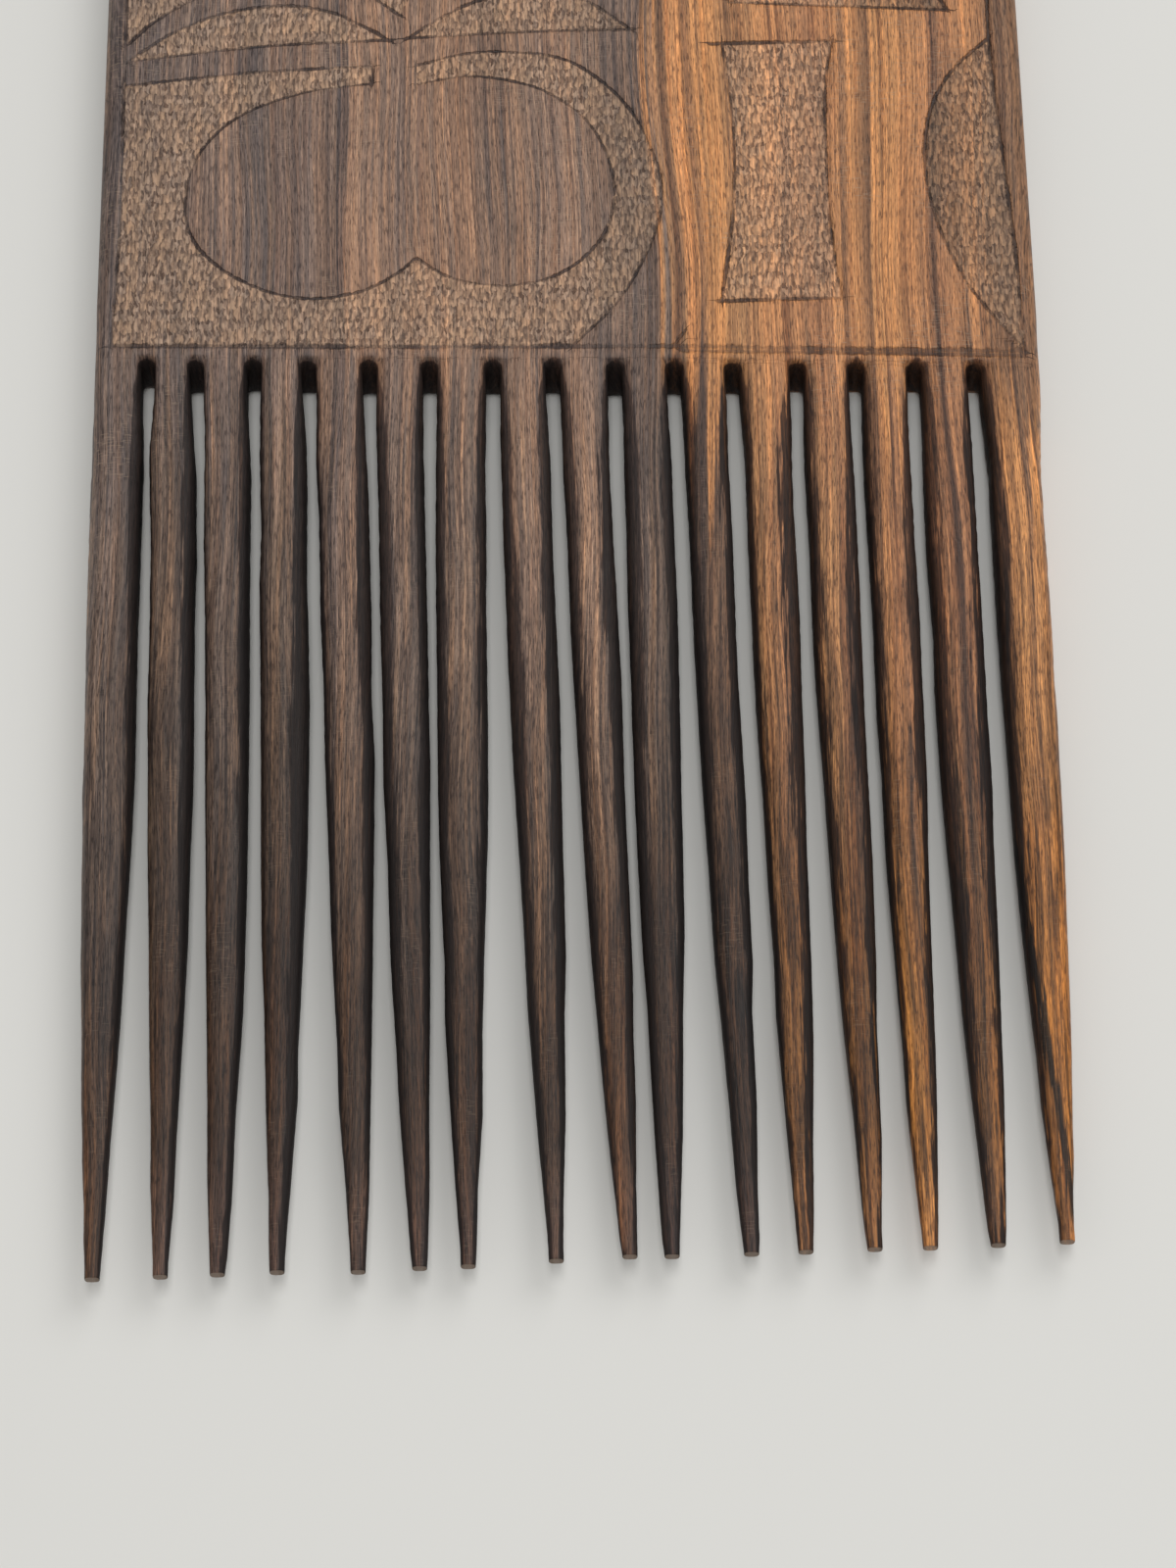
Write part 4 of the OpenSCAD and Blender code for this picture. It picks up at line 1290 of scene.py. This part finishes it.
def cutColour(tree, inMm, colour, rough):
    # Sawn walls and the edges beside them: near black, with a ragged border, wider on the left edges
    # of the tines from the middle of the comb on
    x = addNode(tree, "SeparateXYZ", [inMm]).outputs[0]
    fromCut = addNode(tree, "Attribute", attribute_name="fromCut")
    left, right, run = addNode(tree, "SeparateXYZ", [fromCut.outputs["Vector"]]).outputs
    ragged = addNode(tree, "Math", [grainNoise(tree, inMm, "cutSides"), 0.5], operation="SUBTRACT")
    # A slot's round end is drilled cleanly
    ragged = product(tree, (x, "cutRagged"), (run, "drilledClean"), amount=ragged)
    ragged = addNode(tree, "Math", [grainNoise(tree, inMm, "cutDrift"), wood["cutWander"], ragged],
                     operation="MULTIPLY_ADD")
    # Worn off towards the tips, most of all on the last tine
    worn = [addNode(tree, "MapRange", [place, *spans[key]])
            for place, key in ((run, "edgesWorn"), (x, "wornLast"))]
    ragged = addNode(tree, "Math", [*worn, ragged], operation="MULTIPLY_ADD")
    leftEdge = addNode(tree, "Math", [addNode(tree, "MapRange", [x, *spans[key]])
                                      for key in ("leftEdgeMore", "leftEdge")], operation="ADD")
    left = addNode(tree, "Math", [left, ragged], operation="ADD")
    right = addNode(tree, "Math", [right, ragged], operation="ADD")
    leftPast = addNode(tree, "Math", [left, leftEdge], operation="SUBTRACT")
    rightPast = addNode(tree, "Math", [right, wood["rightEdge"]], operation="SUBTRACT")
    past = addNode(tree, "Math", [leftPast, rightPast], operation="MINIMUM")
    sawn = addNode(tree, "MapRange", [past, *spans["sawn"]], interpolation_type="SMOOTHSTEP")
    # Painted shade beside the dark edges, further in on the upper tines, and a darker rim round the
    # slot ends; and a painted highlight along the tines' middles
    shaded = addNode(tree, "MapRange", [run, *spans["shadeWidth"]])
    colour = tinted(tree, colour, past, "shadeBesideCut", shaded)
    paintedRidgeLight = addNode(tree, "MapRange", [past, wood["ridgeStart"], shaded, 0.0, 1.0])
    paintedRidgeLight = product(tree, (run, "ridgesFrom"), (x, "ridgesRight"), (x, "ridgesLeft"), amount=paintedRidgeLight)
    colour = tinted(tree, colour, paintedRidgeLight, "ridgeHighlight")
    # The light falls more on the left flanks than on the right ones, and shows their brown streaks
    dark = tinted(tree, colour, past, "charAndShadeInCut")
    onLeft = addNode(tree, "Math", [rightPast, leftPast], operation="SUBTRACT")
    dark = tinted(tree, dark, onLeft, "leftCut")
    # Near black of the sawn walls and flanks: char and soil, and painted shade
    dark = addNode(tree, "Mix", [wood["sawnShare"], dark, tone(wood["sawn"])], data_type="RGBA")
    colour = addNode(tree, "Mix", [sawn, colour, dark], data_type="RGBA")
    rough = addNode(tree, "Math", [sawn, wood["rougher"]["sawn"], rough], operation="MULTIPLY_ADD")
    return colour, rough


def woodMaterial(name, carved):
    # Oiled and handled striped rosewood-like hardwood: dark brown bands beside bright orange-brown
    # ones, fine streaks and short dark pores along the grain, a satin gloss on the worn faces, and
    # near-black dull walls where it was sawn, dark from char and soil and from painted shade
    material = bpy.data.materials.new(name)
    material.use_nodes = True
    tree = material.node_tree
    tree.nodes.clear()
    place = addNode(tree, "TexCoord").outputs["Object"]
    inMm = addNode(tree, "VectorMath", {"Vector": place, "Scale": 1 / mm}, operation="SCALE")
    x, y, z = addNode(tree, "SeparateXYZ", [inMm]).outputs
    # The grain strays sideways, slowly along the comb. Noise seldom leaves the middle sixth of its range.
    reach = wood["grainWander"] * 6
    stray = addNode(tree, "Math", [grainNoise(tree, inMm, "grainBend"), reach, -reach / 2],
                    operation="MULTIPLY_ADD")
    grainX = addNode(tree, "Math", [x, stray], operation="ADD")
    grain = addNode(tree, "CombineXYZ", [grainX, y, z])
    colour, height, rough = grainColour(tree, inMm, grain)
    if carved:
        colour, height, rough = groundColour(tree, inMm, colour, height, rough)
        colour, height = lineColour(tree, inMm, colour, height)
    colour, rough = cutColour(tree, inMm, colour, rough)
    # Worn end grain of the blunt tips, a little paler, with painted light on their end faces
    endGrainAndLight = addNode(tree, "Attribute", attribute_name="endGrainAndLight")
    worn = addNode(tree, "Math", [endGrainAndLight.outputs["Fac"], wood["endShare"]], operation="MULTIPLY")
    colour = addNode(tree, "Mix", [worn, colour, tone(wood["endGrainAndLight"])], data_type="RGBA")
    bump = addNode(tree, "Bump", {"Strength": 1.0, "Distance": mm, "Height": height.outputs[0]})
    shader = addNode(tree, "BsdfPrincipled",
                     {"Base Color": colour, "Roughness": rough.outputs[0], "Normal": bump.outputs[0],
                      "IOR": wood["ior"], "Specular IOR Level": wood["specular"]})
    addNode(tree, "OutputMaterial", {"Surface": shader.outputs[0]})
    return material


carvedWood = woodMaterial("oiledRosewoodCarved", True)
tineWood = woodMaterial("oiledRosewoodTines", False)
panelPiece.data.materials.append(carvedWood)
for piece in tines:
    piece.data.materials.append(tineWood)
print("wood finished")


# Table, light and camera

stage = {
    "tableColour": "#dcdbd7",
    "tableRoughness": 0.55,
    "tableSize": 6000.0,
    "tableDrop": 0.02,        # the comb's back lies this far above the table
    "worldStrength": 0.42,
    "skyColour": "#f6f6f4",
    "softboxes": [
        # Place, what it faces, its two sizes, power: one high on the right, and a long strip overhead
        # that reaches down between the tines
        ((700.0, 900.0, 1300.0), (0.0, 0.0, 0.0), (1300.0, 1300.0), 12.0),
        ((0.0, -400.0, 1500.0), (0.0, -400.0, 0.0), (320.0, 1300.0), 8.5),
    ],
}


def makeTable():
    size = stage["tableSize"]
    corners = np.array([[-size, -size, 0], [size, -size, 0], [size, size, 0], [-size, size, 0]]) / 2
    corners[:, 2] = -stage["tableDrop"]
    mesh = bpy.data.meshes.new("table")
    mesh.from_pydata((corners * mm).tolist(), [], [[0, 1, 2, 3]])
    table = bpy.data.objects.new("table", mesh)
    bpy.context.scene.collection.objects.link(table)
    # Pale matt laminate, which gives an even, soft shadow and hardly any reflection
    material = bpy.data.materials.new("paleLaminate")
    material.use_nodes = True
    shader = material.node_tree.nodes["Principled BSDF"]
    shader.inputs["Base Color"].default_value = tone(stage["tableColour"])
    shader.inputs["Roughness"].default_value = stage["tableRoughness"]
    mesh.materials.append(material)


def makeLight():
    world = bpy.data.worlds.new("softRoom")
    world.use_nodes = True
    sky = world.node_tree.nodes["Background"]
    sky.inputs["Color"].default_value = tone(stage["skyColour"])
    sky.inputs["Strength"].default_value = stage["worldStrength"]
    bpy.context.scene.world = world
    for place, aim, size, power in stage["softboxes"]:
        lamp = bpy.data.lights.new("softbox", "AREA")
        lamp.shape = "RECTANGLE"
        lamp.size, lamp.size_y = size[0] * mm, size[1] * mm
        lamp.energy = power
        holder = bpy.data.objects.new("softbox", lamp)
        holder.location = Vector(place) * mm
        holder.rotation_euler = (Vector(aim) - Vector(place)).to_track_quat("-Z", "Y").to_euler()
        bpy.context.scene.collection.objects.link(holder)


view = {
    "place": (-1.8, -283.6, 451.8),
    "aim": (1.5, -44.45, 7.0),
    "lens": 115.2,
    "sensorWidth": 36.0,
    "near": 0.01,             # metres
    "far": 20.0,
}


def makeCamera():
    camera = bpy.data.cameras.new("photoView")
    camera.lens = view["lens"]
    camera.sensor_width = view["sensorWidth"]
    camera.clip_start = view["near"]
    camera.clip_end = view["far"]
    holder = bpy.data.objects.new("photoView", camera)
    holder.location = Vector(view["place"]) * mm
    looking = Vector(view["aim"]) - Vector(view["place"])
    holder.rotation_euler = looking.to_track_quat("-Z", "Y").to_euler()
    bpy.context.scene.collection.objects.link(holder)
    bpy.context.scene.camera = holder


makeTable()
makeLight()
makeCamera()
bpy.context.scene.view_settings.view_transform = "Standard"
print("stage set")
